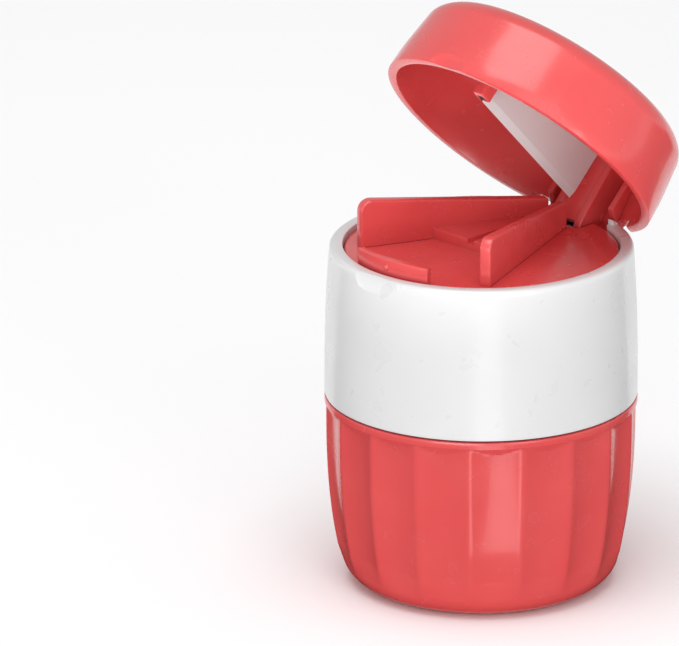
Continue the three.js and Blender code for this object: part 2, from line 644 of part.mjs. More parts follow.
const cup = new THREE.Group();
cup.add(part("fluted_shell", flutedShell(), coralAbs()));
cup.add(part("cup_liner", cupLiner(), coralAbs()));
cup.add(part("crush_pan", crushPan(), steel()));
cup.add(part("anvil_disc", post(0, 0, ANVIL_Z, ANVIL_Z + ANVIL_THICKNESS, ANVIL_RADIUS, 36), steel()));
group.add(cup);

const top = new THREE.Group();
top.add(part("press_plate", pressPlate(), steel()));
top.add(part("press_retainer", pressRetainer(), steel()));
top.add(part("plunger", plunger(), whiteAbs()));
top.add(part("thread_carrier", threadCarrier(), whiteAbs()));
screwPlaces().forEach((place, i) => {
  top.add(part(`plunger_screw_${i + 1}`, plungerScrew(place), steel()));
});
top.add(part("outer_sleeve", outerSleeve(), whiteAbs()));
top.add(part("cutter_bed", cutterBed(), coralAbs()));
top.add(part("guide_wall_left", guideWall(-1), coralAbs()));
top.add(part("guide_wall_right", guideWall(1), coralAbs()));
top.add(part("catch_tongue", catchTongue(), coralAbs()));
const pinLength = 2 * (NOTCH_HALF + CHEEK - 0.9);
top.add(part("hinge_pin", crossPin(HINGE_Y, HINGE_Z, PIN_RADIUS, pinLength), steel()));
group.add(top);

const lid = new THREE.Group();
lid.add(part("lid_shell", lidShell(), coralAbs()));
lid.add(part("blade_holder", bladeHolder(), coralAbs()));
lid.add(part("blade_clip", bladeClip(), coralAbs()));
lid.add(part("blade", blade(), steel()));
bladePinPlaces().forEach((y, i) => {
  lid.add(part(`blade_pin_${i + 1}`, crossPin(y, BLADE_PIN_Z, 0.6, 2 * HOLDER_HALF, 12), steel()));
});
lid.children.forEach((piece) => piece.position.set(0, -HINGE_Y, -HINGE_Z));
lid.position.set(0, HINGE_Y, HINGE_Z);
lid.rotation.x = -THREE.MathUtils.degToRad(LID_OPEN_DEG);
group.add(lid);

export default group;
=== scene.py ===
"""Looks of a screw-down pill crusher whose lid carries a pill-splitting blade.

The object is a fluted coral cup with a steel-lined bore, a white sleeve that screws onto it, a cutting bed
with two guide walls on top of the sleeve, and a domed lid with a blade, standing open on its hinge.
Shapes are worked out in millimetres and put into meshes in metres.
"""

import enum
import json
import logging
import math
from collections.abc import Callable, Iterable
from dataclasses import dataclass, field

import bmesh
import bpy
import numpy as np
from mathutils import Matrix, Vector

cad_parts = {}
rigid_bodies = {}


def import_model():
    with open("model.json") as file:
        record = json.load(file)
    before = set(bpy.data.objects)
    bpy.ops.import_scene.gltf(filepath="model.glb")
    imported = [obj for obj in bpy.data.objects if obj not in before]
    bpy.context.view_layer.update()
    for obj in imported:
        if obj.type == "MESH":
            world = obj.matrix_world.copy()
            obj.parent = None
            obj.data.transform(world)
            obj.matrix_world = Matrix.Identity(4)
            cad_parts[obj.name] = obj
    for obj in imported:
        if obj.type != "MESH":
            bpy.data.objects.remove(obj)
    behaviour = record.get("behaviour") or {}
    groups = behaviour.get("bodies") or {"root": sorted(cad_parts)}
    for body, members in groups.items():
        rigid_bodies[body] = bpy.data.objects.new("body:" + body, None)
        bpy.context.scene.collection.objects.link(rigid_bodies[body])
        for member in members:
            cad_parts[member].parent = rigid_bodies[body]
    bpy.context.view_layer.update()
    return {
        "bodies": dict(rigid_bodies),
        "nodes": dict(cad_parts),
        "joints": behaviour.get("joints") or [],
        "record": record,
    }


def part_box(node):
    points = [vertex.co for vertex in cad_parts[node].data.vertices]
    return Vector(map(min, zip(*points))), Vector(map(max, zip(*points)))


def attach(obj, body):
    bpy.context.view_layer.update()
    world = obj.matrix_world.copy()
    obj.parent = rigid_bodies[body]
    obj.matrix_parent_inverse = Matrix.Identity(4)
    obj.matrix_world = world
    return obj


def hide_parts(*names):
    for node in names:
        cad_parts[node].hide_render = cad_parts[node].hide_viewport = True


LOG = logging.getLogger("pill_crusher")
MM = 0.001
BEYOND = 40.0  # past the object's edge, for what cuts right through it
Array = np.ndarray
Outline = list[tuple[float, float]]


# ---------------------------------------------------------------- surfaces
@dataclass
class Surface:
    """Points in millimetres with the faces between them."""

    points: Array
    faces: list[list[int]]

    def __add__(self, other: "Surface") -> "Surface":
        """Both surfaces side by side in one."""
        shift = len(self.points)
        moved = [[i + shift for i in face] for face in other.faces]
        return Surface(np.vstack([self.points, other.points]), self.faces + moved)

    def mapped(self, change: Callable[[Array], Array]) -> "Surface":
        """The surface with every point passed through a function of an (n, 3) array."""
        return Surface(change(self.points), self.faces)

    def shifted(self, x: float = 0.0, y: float = 0.0, z: float = 0.0) -> "Surface":
        """The surface moved by x, y and z."""
        return Surface(self.points + np.array([x, y, z]), self.faces)


def grid(points: Array, wrap_rows: bool) -> Surface:
    """Joins a (rows, columns, 3) array into quads, with the columns closed into a ring.

    Args:
        points: One ring of points for each row.
        wrap_rows: Whether the last row joins the first.

    Returns:
        The surface of quads.
    """
    rows, columns = points.shape[:2]
    row = np.arange(rows if wrap_rows else rows - 1)[:, None]
    column = np.arange(columns)[None, :]
    above, beside = (row + 1) % rows * columns, (column + 1) % columns
    corners = (row * columns + column, row * columns + beside, above + beside, above + column)
    quads = np.stack(np.broadcast_arrays(*corners), axis=-1).reshape(-1, 4)
    return Surface(points.reshape(-1, 3), quads.tolist())


def capped(points: Array) -> Surface:
    """Joins rings of points into a tube, and closes its first and last rings with a face each.

    Args:
        points: A (rings, points, 3) array.

    Returns:
        The closed tube.
    """
    made = grid(points, False)
    rows, columns = points.shape[:2]
    last = columns * (rows - 1)
    made.faces += [list(range(columns))[::-1], list(range(last, last + columns))]
    return made


def revolved(
    profile: Outline,
    segments: int = 160,
    closed: bool = False,
    shape: Callable[[Array, Array, Array], Array] | None = None,
) -> Surface:
    """Turns a profile of (radius, height) about Z: x = r sin a, y = -r cos a, so angle 0 is the front.

    Args:
        profile: Points of the section, in order.
        segments: Steps round the axis.
        closed: Whether the section closes on itself away from the axis.
        shape: Gives the radius from arrays of radius, angle and height.

    Returns:
        The surface of revolution.
    """
    section = np.array(profile)
    angle = np.linspace(0, 2 * np.pi, segments, endpoint=False)[None, :]
    radius = np.repeat(section[:, :1], segments, axis=1)
    height = np.repeat(section[:, 1:], segments, axis=1)
    if shape is not None:
        radius = shape(radius, angle + 0 * radius, height)
    return grid(np.stack([radius * np.sin(angle), -radius * np.cos(angle), height], axis=-1), closed)


def rounded(corners: Outline, radius: float | list[float], steps: int = 4, loop: bool = True) -> Outline:
    """Softens the corners of an outline: each becomes a circular arc tangent to both its sides.

    Args:
        corners: The outline's corners.
        radius: How far from each corner the curve starts, one value or one for each corner.
        steps: Pieces in each curve.
        loop: Whether the outline closes on itself. The ends of an open one stay as they are.

    Returns:
        The softened outline.
    """
    count = len(corners)
    radii = radius if isinstance(radius, list) else [radius] * count
    made: Outline = []
    for i, (corner, reach) in enumerate(zip(np.array(corners), radii)):
        if reach <= 0 or (not loop and i in (0, count - 1)):
            made.append(tuple(corner))
            continue
        before, after = np.array(corners[i - 1]), np.array(corners[(i + 1) % count])
        room_in, room_out = np.linalg.norm(before - corner), np.linalg.norm(after - corner)
        reach = min(reach, 0.48 * room_in, 0.48 * room_out)
        start = corner + (before - corner) * reach / room_in
        end = corner + (after - corner) * reach / room_out
        pull = np.linalg.norm(end - start) / (2 * reach)  # a conic with this weight is a circle
        for t in np.linspace(0, 1, steps + 1):
            a, b, c = (1 - t) ** 2, 2 * t * (1 - t) * pull, t**2
            made.append(tuple((a * start + b * corner + c * end) / (a + b + c)))
    return made


def inset(outline: Array, distance: float) -> Array:
    """Moves a closed counter-clockwise outline inwards along the mitred normal of its corners.

    Args:
        outline: An (n, 2) array of corners.
        distance: How far its sides move.

    Returns:
        The smaller outline.
    """
    ahead = np.roll(outline, -1, axis=0) - outline
    ahead /= np.linalg.norm(ahead, axis=1, keepdims=True)
    normal = np.stack([-ahead[:, 1], ahead[:, 0]], axis=1)
    mean = normal + np.roll(normal, 1, axis=0)
    mean /= np.maximum((mean**2).sum(axis=1, keepdims=True) / 2, 0.3)
    return outline + distance * mean


def slab(outline: Outline, low: float, high: float, edge: float, steps: int = 4) -> Surface:
    """A plate with rounded rims: the outline, inset along a quarter circle at both faces.

    Args:
        outline: Counter-clockwise outline in the plate's plane.
        low: Height of the lower face.
        high: Height of the upper face.
        edge: Radius of the rims.
        steps: Pieces in each quarter circle.

    Returns:
        The closed plate.
    """
    base = np.array(outline)
    quarter = np.linspace(0, np.pi / 2, steps + 1)
    inward, rise = edge * (1 - np.sin(quarter)), edge * (1 - np.cos(quarter))
    flat = edge * 1.35  # a ring on the flat face keeps its shading flat
    rings = [(flat, low), *[(i, low + r) for i, r in zip(inward, rise)]]
    rings += [(i, high - r) for i, r in zip(inward[::-1], rise[::-1])] + [(flat, high)]
    layers = [np.column_stack([inset(base, i), np.full(len(base), z)]) for i, z in rings]
    return capped(np.stack(layers))


def bar(low: Iterable[float], high: Iterable[float], edge: float, corner: float = 0.0) -> Surface:
    """A box between two corners with rounded edges: a rounded rectangle made a slab.

    Args:
        low: The lower corner.
        high: The upper corner.
        edge: Radius of the rims.
        corner: Radius of the upright edges, when it is the larger.

    Returns:
        The closed box.
    """
    (x0, y0, z0), (x1, y1, z1) = low, high
    outline = rounded([(x0, y0), (x1, y0), (x1, y1), (x0, y1)], max(corner, edge * 1.5), 4)
    return slab(outline, z0, z1, edge, 3)


def stretch(side: int, near: float, far: float) -> tuple[float, float]:
    """The ends of a stretch between two distances from the middle, lower end first, on the side -1 or 1."""
    return (near, far) if side > 0 else (-far, -near)


def sideways(plate: Surface) -> Surface:
    """Turns a plate drawn in (y, z) and raised along x: the axes go round by one place."""
    return plate.mapped(lambda p: p[:, [2, 0, 1]])


def ellipsoid(centre: tuple[float, float, float], radii: tuple[float, float, float]) -> Surface:
    """An ellipsoid: a half circle turned about Z, stretched by the three radii.

    Args:
        centre: Its middle.
        radii: Its half sizes along the axes.

    Returns:
        The closed surface.
    """
    climb = np.linspace(-np.pi / 2, np.pi / 2, 33)
    ball = revolved([(math.cos(a) if abs(a) < 1.57 else 0.0, math.sin(a)) for a in climb], 64)
    return ball.mapped(lambda p: p * np.array(radii) + np.array(centre))


def lathe_pin(x0: float, x1: float, y: float, z: float, radius: float, edge: float = 0.2) -> Surface:
    """A pin along X with rounded ends: a rounded rod section turned about its axis.

    Args:
        x0: Its left end.
        x1: Its right end.
        y: Its place front to rear.
        z: Its height.
        radius: Its radius.
        edge: Radius of its rims.

    Returns:
        The closed pin.
    """
    section = rounded([(0, x0), (radius, x0), (radius, x1), (0, x1)], edge, 3, loop=False)
    return revolved(section, 40).mapped(lambda p: np.column_stack([p[:, 2], p[:, 0] + y, p[:, 1] + z]))


def signed_volume(mesh: bpy.types.Mesh) -> float:
    """Six times the volume inside a closed mesh, negative when its faces point inwards.

    Args:
        mesh: A closed mesh.

    Returns:
        The sum of its triangles' triple products.
    """
    mesh.calc_loop_triangles()
    corners = np.empty(len(mesh.loop_triangles) * 3, np.int64)
    mesh.loop_triangles.foreach_get("vertices", corners)
    places = np.empty(len(mesh.vertices) * 3)
    mesh.vertices.foreach_get("co", places)
    a, b, c = places.reshape(-1, 3)[corners.reshape(-1, 3)].transpose(1, 0, 2)
    return float((a * np.cross(b, c)).sum())


def finish_normals(mesh: bpy.types.Mesh, sharp_deg: float = 40.0) -> None:
    """Shades a mesh smooth, with edges sharper than an angle kept crisp.

    Args:
        mesh: The mesh.
        sharp_deg: The angle.
    """
    mesh.polygons.foreach_set("use_smooth", np.ones(len(mesh.polygons), bool))
    mesh.set_sharp_from_angle(angle=math.radians(sharp_deg))
    mesh.update()


def put_in_scene(name: str, data: bpy.types.ID) -> bpy.types.Object:
    """Makes an object of a mesh, light or camera and links it to the scene."""
    made = bpy.data.objects.new(name, data)
    bpy.context.scene.collection.objects.link(made)
    return made


def make_object(name: str, surface: Surface, sharp_deg: float = 40.0) -> bpy.types.Object:
    """Puts one closed surface into a new mesh object, poles merged and faces outwards.

    Args:
        name: The object's name.
        surface: The surface in millimetres.
        sharp_deg: Edges sharper than this stay crisp.

    Returns:
        The object, at the origin.
    """
    mesh = bpy.data.meshes.new(name)
    mesh.from_pydata(surface.points * MM, [], surface.faces)
    work = bmesh.new()
    work.from_mesh(mesh)
    bmesh.ops.remove_doubles(work, verts=work.verts, dist=1e-7)
    bmesh.ops.dissolve_degenerate(work, edges=work.edges, dist=1e-8)
    work.to_mesh(mesh)
    work.free()
    if signed_volume(mesh) < 0:
        mesh.flip_normals()
    finish_normals(mesh, sharp_deg)
    return put_in_scene(name, mesh)


def join(name: str, parts: list[bpy.types.Object]) -> bpy.types.Object:
    """Joins objects into the first one, which takes the name.

    Args:
        name: The joined object's name.
        parts: The objects.

    Returns:
        The joined object.
    """
    bpy.ops.object.select_all(action="DESELECT")
    for each in parts:
        each.select_set(True)
    bpy.context.view_layer.objects.active = parts[0]
    if len(parts) > 1:
        bpy.ops.object.join()
    parts[0].name = name
    finish_normals(parts[0].data)
    return parts[0]


def carve(piece: bpy.types.Object, *cutters: Surface) -> bpy.types.Object:
    """Cuts closed surfaces out of a piece, and keeps the result as its mesh.

    Args:
        piece: The piece that is cut.
        cutters: What is taken away.

    Returns:
        The same piece.
    """
    for number, cutter in enumerate(cutters):
        tool = make_object(f"cutter_{number}", cutter)
        step = piece.modifiers.new("cut", "BOOLEAN")
        step.object, step.operation, step.solver = tool, "DIFFERENCE", "EXACT"
        graph = bpy.context.evaluated_depsgraph_get()
        result = bpy.data.meshes.new_from_object(piece.evaluated_get(graph))
        piece.modifiers.clear()
        piece.data = result
        bpy.data.objects.remove(tool)
    finish_normals(piece.data)
    return piece


# ---------------------------------------------------------------- finishes
def linear(hex_colour: str) -> tuple[float, float, float, float]:
    """Turns an sRGB hex colour into linear light with full alpha."""
    parts = [int(hex_colour[i : i + 2], 16) / 255 for i in (1, 3, 5)]
    return (*[c / 12.92 if c <= 0.04045 else ((c + 0.055) / 1.055) ** 2.4 for c in parts], 1.0)


def add_node(
    tree: bpy.types.NodeTree, kind: str, settings: dict | None = None, links: dict | None = None
) -> bpy.types.Node:
    """Adds a node to a material.

    Args:
        tree: The material's node tree.
        kind: The node's type name.
        settings: Values of its properties, or of its inputs by name or number.
        links: Output sockets to join to its inputs, by name or number.

    Returns:
        The node.
    """
    node = tree.nodes.new(kind)
    for key, value in (settings or {}).items():
        if isinstance(key, str) and hasattr(node, key):
            setattr(node, key, value)
        else:
            node.inputs[key].default_value = value
    for key, socket in (links or {}).items():
        tree.links.new(socket, node.inputs[key])
    return node


def per_mm(size: float) -> float:
    """The texture scale that gives a feature of a size in millimetres."""
    return 1 / (size * MM)


def blank_material(name: str) -> tuple[bpy.types.Material, bpy.types.NodeTree]:
    """A new material with an empty node tree.

    Args:
        name: The material's name.

    Returns:
        The material and its tree.
    """
    material = bpy.data.materials.new(name)
    material.use_nodes = True
    material.node_tree.nodes.clear()
    return material, material.node_tree


@dataclass(frozen=True)
class MouldedPlastic:
    """ABS from a polished mould: a hard gloss, a faint orange peel, and slow drifts of shade."""

    name: str
    colour: str
    drift: str  # the shade that the colour drifts towards
    roughness: float
    glow: float = 0.0  # how much light travels inside the plastic
    flow_mm: float = 14.0
    smear_mm: float = 5.0  # handling and the mould's polish
    peel_mm: float = 3.0
    grain_mm: float = 0.35  # finer in truth, drawn coarse enough to catch the light
    soft_edge_mm: float = 0.14

    def material(self) -> bpy.types.Material:
        """Builds the material."""
        material, tree = blank_material(self.name)
        place = add_node(tree, "ShaderNodeTexCoord").outputs["Object"]
        slow = {"Scale": per_mm(self.flow_mm), "Detail": 2.0}
        flow = add_node(tree, "ShaderNodeTexNoise", slow, {"Vector": place})
        ramp = add_node(tree, "ShaderNodeValToRGB", None, {"Fac": flow.outputs["Fac"]})
        ramp.color_ramp.elements[0].position, ramp.color_ramp.elements[1].position = 0.3, 0.7
        ramp.color_ramp.elements[0].color = linear(self.drift)
        ramp.color_ramp.elements[1].color = linear(self.colour)
        worn = {"Scale": per_mm(self.smear_mm), "Detail": 4.0}
        smear = add_node(tree, "ShaderNodeTexNoise", worn, {"Vector": place})
        span = {1: 0.3, 2: 0.7, 3: self.roughness * 0.85, 4: self.roughness * 1.2}
        rough = add_node(tree, "ShaderNodeMapRange", span, {0: smear.outputs["Fac"]})
        wavy = {"Scale": per_mm(self.peel_mm), "Detail": 1.0}
        peel = add_node(tree, "ShaderNodeTexNoise", wavy, {"Vector": place})
        fine_noise = {"Scale": per_mm(self.grain_mm), "Detail": 2.0}
        grain = add_node(tree, "ShaderNodeTexNoise", fine_noise, {"Vector": place})
        soft = add_node(tree, "ShaderNodeBevel", {"samples": 4, "Radius": self.soft_edge_mm * MM})
        coarse = {"Strength": 0.03, "Distance": 0.05 * MM}
        links = {"Height": peel.outputs["Fac"], "Normal": soft.outputs["Normal"]}
        bump = add_node(tree, "ShaderNodeBump", coarse, links)
        fine = {"Strength": 0.04, "Distance": 0.004 * MM}
        links = {"Height": grain.outputs["Fac"], "Normal": bump.outputs["Normal"]}
        bump = add_node(tree, "ShaderNodeBump", fine, links)
        shader = add_node(
            tree,
            "ShaderNodeBsdfPrincipled",
            {"IOR": 1.53, "Coat Weight": 0.3, "Coat Roughness": 0.1, "Subsurface Weight": self.glow},
            {
                "Base Color": ramp.outputs["Color"],
                "Roughness": rough.outputs["Result"],
                "Normal": bump.outputs["Normal"],
            },
        )
        shader.inputs["Subsurface Radius"].default_value = (1.0, 0.35, 0.25)
        shader.inputs["Subsurface Scale"].default_value = 1.2 * MM
        add_node(tree, "ShaderNodeOutputMaterial", None, {"Surface": shader.outputs["BSDF"]})
        return material


class Marks(enum.Enum):
    """Which way the tool marks of a steel piece run."""

    TURNED = "rings about the Z axis"
    GROUND = "fine lines along the blade"
    POLISHED = "no direction"


@dataclass(frozen=True)
class Stainless:
    """Stainless steel: bright grey metal whose fine tool marks stretch its highlights."""

    name: str
    colour: str
    roughness: float
    marks: Marks
    spacing_mm: float = 0.25
    depth: float = 0.15
    metal: float = 1.0  # lower where fine grinding scatters the light
    blade_lean_deg: float = -46.0  # ground lines follow the open lid's blade

    def pattern(self, tree: bpy.types.NodeTree) -> bpy.types.NodeSocket:
        """The height of the tool marks, from 0 to 1."""
        place = add_node(tree, "ShaderNodeTexCoord").outputs["Object"]
        if self.marks is Marks.TURNED:
            flat = add_node(tree, "ShaderNodeVectorMath", {"operation": "MULTIPLY", 1: (1, 1, 0)}, {0: place})
            radius = add_node(tree, "ShaderNodeVectorMath", {"operation": "LENGTH"}, {0: flat.outputs[0]})
            noise = {"noise_dimensions": "1D", "Scale": per_mm(self.spacing_mm), "Detail": 3.0}
            return add_node(tree, "ShaderNodeTexNoise", noise, {"W": radius.outputs["Value"]}).outputs["Fac"]
        stretch = (1, 0.03, 1) if self.marks is Marks.GROUND else (1, 1, 1)
        lean = {"vector_type": "TEXTURE", "Rotation": (math.radians(self.blade_lean_deg), 0, 0)}
        turned = add_node(tree, "ShaderNodeMapping", lean, {"Vector": place})
        shape = add_node(tree, "ShaderNodeMapping", {"Scale": stretch}, {"Vector": turned.outputs[0]})
        noise = {"Scale": per_mm(self.spacing_mm), "Detail": 3.0}
        return add_node(tree, "ShaderNodeTexNoise", noise, {"Vector": shape.outputs[0]}).outputs["Fac"]

    def material(self) -> bpy.types.Material:
        """Builds the material."""
        material, tree = blank_material(self.name)
        height = self.pattern(tree)
        span = {1: 0.3, 2: 0.7, 3: self.roughness * 0.7, 4: self.roughness * 1.35}
        rough = add_node(tree, "ShaderNodeMapRange", span, {0: height})
        relief = {"Strength": self.depth, "Distance": 0.01 * MM}
        bump = add_node(tree, "ShaderNodeBump", relief, {"Height": height})
        shader = add_node(
            tree,
            "ShaderNodeBsdfPrincipled",
            {"Base Color": linear(self.colour), "Metallic": self.metal},
            {"Roughness": rough.outputs["Result"], "Normal": bump.outputs["Normal"]},
        )
        add_node(tree, "ShaderNodeOutputMaterial", None, {"Surface": shader.outputs["BSDF"]})
        return material


CORAL = MouldedPlastic("coral_abs_polished", "#d95050", "#d54b4c", 0.24, glow=0.1)
WHITE = MouldedPlastic("white_abs_polished", "#dadada", "#d7d7d8", 0.3)
WHITE_SATIN = MouldedPlastic("white_abs_satin", "#dededd", "#d8d8d7", 0.42)
PAN_STEEL = Stainless("stainless_turned", "#c4c6ca", 0.24, Marks.TURNED)
MIRROR_STEEL = Stainless("stainless_mirror", "#dcdde0", 0.06, Marks.POLISHED, 2.5, 0.03)
BLADE_STEEL = Stainless("stainless_ground", "#d6dcdc", 0.42, Marks.GROUND, 0.3, 0.03, 0.15)
SCREW_STEEL = Stainless("stainless_plain", "#b4b6ba", 0.25, Marks.POLISHED, 0.6)
# Painted shade: a near-black finish for the discs that stand for the shade inside the pan's holes.
PAINTED_HOLE_SHADE = MouldedPlastic("drilled_hole_shadow", "#1b1c1e", "#141517", 0.6)


@dataclass
class Finishes:
    """The materials, each built once and handed to every piece that has it."""

    made: dict[str, bpy.types.Material] = field(default_factory=dict)

    def dress(self, piece: bpy.types.Object, finish: MouldedPlastic | Stainless) -> None:
        """Gives a piece one finish over its whole surface.

        Args:
            piece: The piece.
            finish: Its finish.
        """
        if finish.name not in self.made:
            self.made[finish.name] = finish.material()
        piece.data.materials.clear()
        piece.data.materials.append(self.made[finish.name])


@dataclass
class Workshop:
    """What every sub-assembly needs: the frame's sizes in millimetres and the finishes."""

    frame: dict
    finishes: Finishes = field(default_factory=Finishes)

    def node_box(self, node: str) -> tuple[Array, Array]:
        """A CAD node's corners in millimetres."""
        low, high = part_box(node)
        return np.array(low) / MM, np.array(high) / MM

    def joint(self, name: str) -> dict:
        """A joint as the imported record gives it."""
        joints = self.frame["record"]["behaviour"]["joints"]
        return next(each for each in joints if each["name"] == name)

    def place(
        self,
        piece: bpy.types.Object,
        finish: MouldedPlastic | Stainless,
        slot: str,
        body: str,
        *nodes: str,
    ) -> bpy.types.Object:
        """Dresses a piece, joins it to its body, and hides the CAD nodes that it stands for.

        Args:
            piece: The piece.
            finish: Its finish.
            slot: Not used.
            body: The body that it rides on.
            nodes: The CAD nodes that it replaces.

        Returns:
            The piece.
        """
        self.finishes.dress(piece, finish)
        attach(piece, body)
        if nodes:
            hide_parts(*nodes)
        LOG.info("%s rides on %s, %d faces", piece.name, body, len(piece.data.polygons))
        return piece


# ---------------------------------------------------------------- the screw's thread
@dataclass(frozen=True)
class Thread:
    """A two-start right-hand thread of rounded ridges."""

    lead: float = 9.0
    starts: int = 2
    depth: float = 1.05

    def ridge(self, angle: Array, z: Array) -> Array:
        """How far the thread stands out, 0 to 1: a cosine of the turns climbed less the turns gone round.

        Args:
            angle: Angles round the axis.
            z: Heights.

        Returns:
            The rise as a share of the depth.
        """
        turns = (z / self.lead - angle / (2 * np.pi)) * self.starts
        return 0.5 + 0.5 * np.cos(2 * np.pi * turns)


def smooth(value: Array, low: float, high: float) -> Array:
    """0 below low, 1 above high, and 3t^2 - 2t^3 between.

    Args:
        value: The values.
        low: Where the climb starts.
        high: Where it ends.

    Returns:
        The shares.
    """
    t = np.clip((value - low) / (high - low), 0, 1)
    return t * t * (3 - 2 * t)


def heights(low: float, high: float, step: float) -> Array:
    """Even heights between two, no further apart than a step."""
    return np.linspace(low, high, max(2, math.ceil(abs(high - low) / step) + 1))


# ---------------------------------------------------------------- cup
@dataclass
class Cup:
    """The lower cup: fluted shell, threaded liner, pressed pan and anvil disc."""

    shop: Workshop
    flutes: int = 18
    flute_depth: float = 1.0
    rib_half: float = 0.35
    band: float = 1.45
    chamfer_slope: float = 0.75
    fillet: float = 6.3
    foot_inset: float = 9.5
    lean: float = 2.3  # how far the wall draws in from band to foot
    rebate: float = 1.1
    rebate_depth: float = 1.8
    fit: float = 0.3  # the gap between neighbours
    neck_wall: float = 1.9
    floor: float = 2.2
    liner_floor: float = 1.6
    pan_sheet: float = 0.5
    knurl_teeth: int = 120
    knurl_depth: float = 0.06
    hole_shade_drop: float = 2.2  # how far the painted hole shades sit below the pan's rim

    def __post_init__(self) -> None:
        """Reads the cup's sizes from the frame."""
        high = self.shop.node_box("fluted_shell")[1]
        self.radius, self.top = float(high[0]), float(high[2])
        self.foot = self.radius - self.foot_inset
        low, lip = self.shop.node_box("cup_liner")
        self.liner_base, self.lip = float(low[2]), float(lip[2])
        self.pan_low, self.pan_high = self.shop.node_box("crush_pan")
        self.bore = float(self.pan_high[0]) + self.fit
        self.neck = self.bore + self.neck_wall

    def envelope(self) -> Outline:
        """The ridges' outline, foot to band: a quarter round, then a wall that leans out less and less."""
        climb = np.radians(np.linspace(-90, -18, 24))
        curve = [(self.foot + self.fillet * math.cos(a), self.fillet * (1 + math.sin(a))) for a in climb]
        z = heights(self.fillet + 1.0, self.top - self.band - 0.05, 0.45)
        share = (z - z[0]) / (z[-1] - z[0])
        wall = self.radius - 0.2 - self.lean * (1 - share) ** 2.6
        return curve + list(zip(wall.tolist(), z.tolist()))

    def fluted(self, radius: Array, angle: Array, z: Array) -> Array:
        """Takes shallow scoops out of the wall.

        Across a flute the cut is d (1 - (u / a)^2), with u the distance from its middle and a half its width.
        A slanted ceiling under the band and a soft run-out above the foot limit it.

        Args:
            radius: Radii before the cut.
            angle: Angles round the axis.
            z: Heights.

        Returns:
            The radii after the cut.
        """
        pitch = 2 * np.pi / self.flutes
        off_centre = (np.mod(angle, pitch) / pitch - 0.5) * pitch * radius
        half = np.maximum(pitch * radius / 2 - self.rib_half, 0.1)
        scoop = self.flute_depth * np.clip(1 - (off_centre / half) ** 2, 0, None)
        ceiling = self.chamfer_slope * np.clip(self.top - self.band - z, 0, None)
        runout = self.flute_depth * smooth(z, self.fillet - 2.6, self.fillet + 2.4)
        return radius - np.minimum(np.minimum(scoop, ceiling), runout * scoop / self.flute_depth)

    def shell(self) -> bpy.types.Object:
        """The fluted shell with its plain band and the rebate for the liner."""
        outside = self.envelope()
        band = [
            (self.radius - 0.2, self.top - self.band),
            (self.radius - 0.03, self.top - self.band + 0.08),
            (self.radius, self.top - self.band + 0.25),
            (self.radius, self.top - 0.3),
            (self.radius - 0.08, self.top - 0.08),
            (self.radius - 0.3, self.top),
        ]
        ledge = self.radius - self.rebate
        inside = [
            (ledge, self.top),
            (ledge, self.top - self.rebate_depth),
            (ledge - 1.6, self.top - self.rebate_depth),
            (self.radius - 3.7, self.top * 0.44),
            (self.radius - 5, self.fillet + 1.4),
            (self.foot + 0.5, self.floor),
            (0.0, self.floor),
        ]
        foot = [(0.0, 0.0), (self.foot - 4, 0.0)]
        profile = foot + outside + band + inside
        cut = range(len(foot), len(foot) + len(outside))

        def shape(radius: Array, angle: Array, z: Array) -> Array:
            """Flutes the outer rows only."""
            made = radius.copy()
            made[cut] = self.fluted(radius, angle, z)[cut]
            return made

        surface = revolved(profile, self.flutes * 24, shape=shape)
        return make_object("fluted_cup_shell", surface, 28)

    def liner(self) -> bpy.types.Object:
        """Liner with the bore, a curved shoulder and the rounded two-start thread on its neck."""
        thread = Thread()
        shoulder = self.top + 1.5
        flange = self.radius - self.rebate - self.fit
        under = self.top - self.rebate_depth + self.fit
        floor = self.liner_base + self.liner_floor
        below: Outline = [
            (0, self.liner_base),
            (self.neck - 1.2, self.liner_base),
            (self.neck, floor),
            (self.neck, under),
            (flange, under),
            (flange, self.top - 0.2),
            (flange - 0.2, self.top),
            (self.radius - 2.8, self.top),
            (self.radius - 3.3, self.top + 0.55),
            (self.radius - 4.0, self.top + 1.1),
            (self.neck + 1.2, shoulder - 0.1),
            (self.neck + 0.4, shoulder),
        ]
        neck = [(self.neck, z) for z in heights(shoulder + 0.1, self.lip - 1, 0.16).tolist()]
        lip = rounded(
            [
                (self.neck, self.lip - 1),
                (self.neck - 0.1, self.lip),
                (self.bore + 0.8, self.lip),
                (self.bore + 0.7, self.lip - 0.5),
                (self.bore, self.lip - 1.1),
                (self.bore, floor),
                (0, floor),
            ],
            0.3,
            4,
            loop=False,
        )
        threaded = range(len(below), len(below) + len(neck))

        def shape(radius: Array, angle: Array, z: Array) -> Array:
            """Raises the thread on the neck, flattened at its crests and fading out at both ends."""
            rise = np.minimum(thread.ridge(angle, z) * 1.25, 1) * thread.depth
            fade = smooth(z, shoulder, shoulder + 2) * (1 - smooth(z, self.lip - 3.2, self.lip - 1))
            made = radius.copy()
            made[threaded] += (rise * fade)[threaded]
            return made

        return make_object("liner_with_neck", revolved(below + neck + lip, 288, shape=shape), 35)

    def pan(self) -> bpy.types.Object:
        """Pressed pan with a rolled rim, concentric steps and a knurled ring round its floor."""
        outer, low, top = float(self.pan_high[0]), float(self.pan_low[2]), float(self.pan_high[2])
        floor, wall = low + self.pan_sheet, outer - self.pan_sheet
        anvil = float(self.shop.node_box("anvil_disc")[1][0])
        steps = [(anvil + 0.15, floor), (anvil + 0.2, floor + 0.35), (anvil + 0.55, floor + 0.35)]
        steps += [(anvil + 0.6, floor + 0.15), (wall - 0.15, floor + 0.15), (wall, floor + 0.4)]
        profile = [(0, low), (outer - 0.6, low), (outer - 0.15, low + 0.15), (outer, low + 0.6)]
        profile += [(outer, top - 0.2), (outer - 0.1, top - 0.05), (outer - 0.25, top)]
        profile += [(wall + 0.08, top - 0.06), (wall, top - 0.25), *steps[::-1], (0, floor)]
        knurl = range(len(profile) - 5, len(profile) - 3)

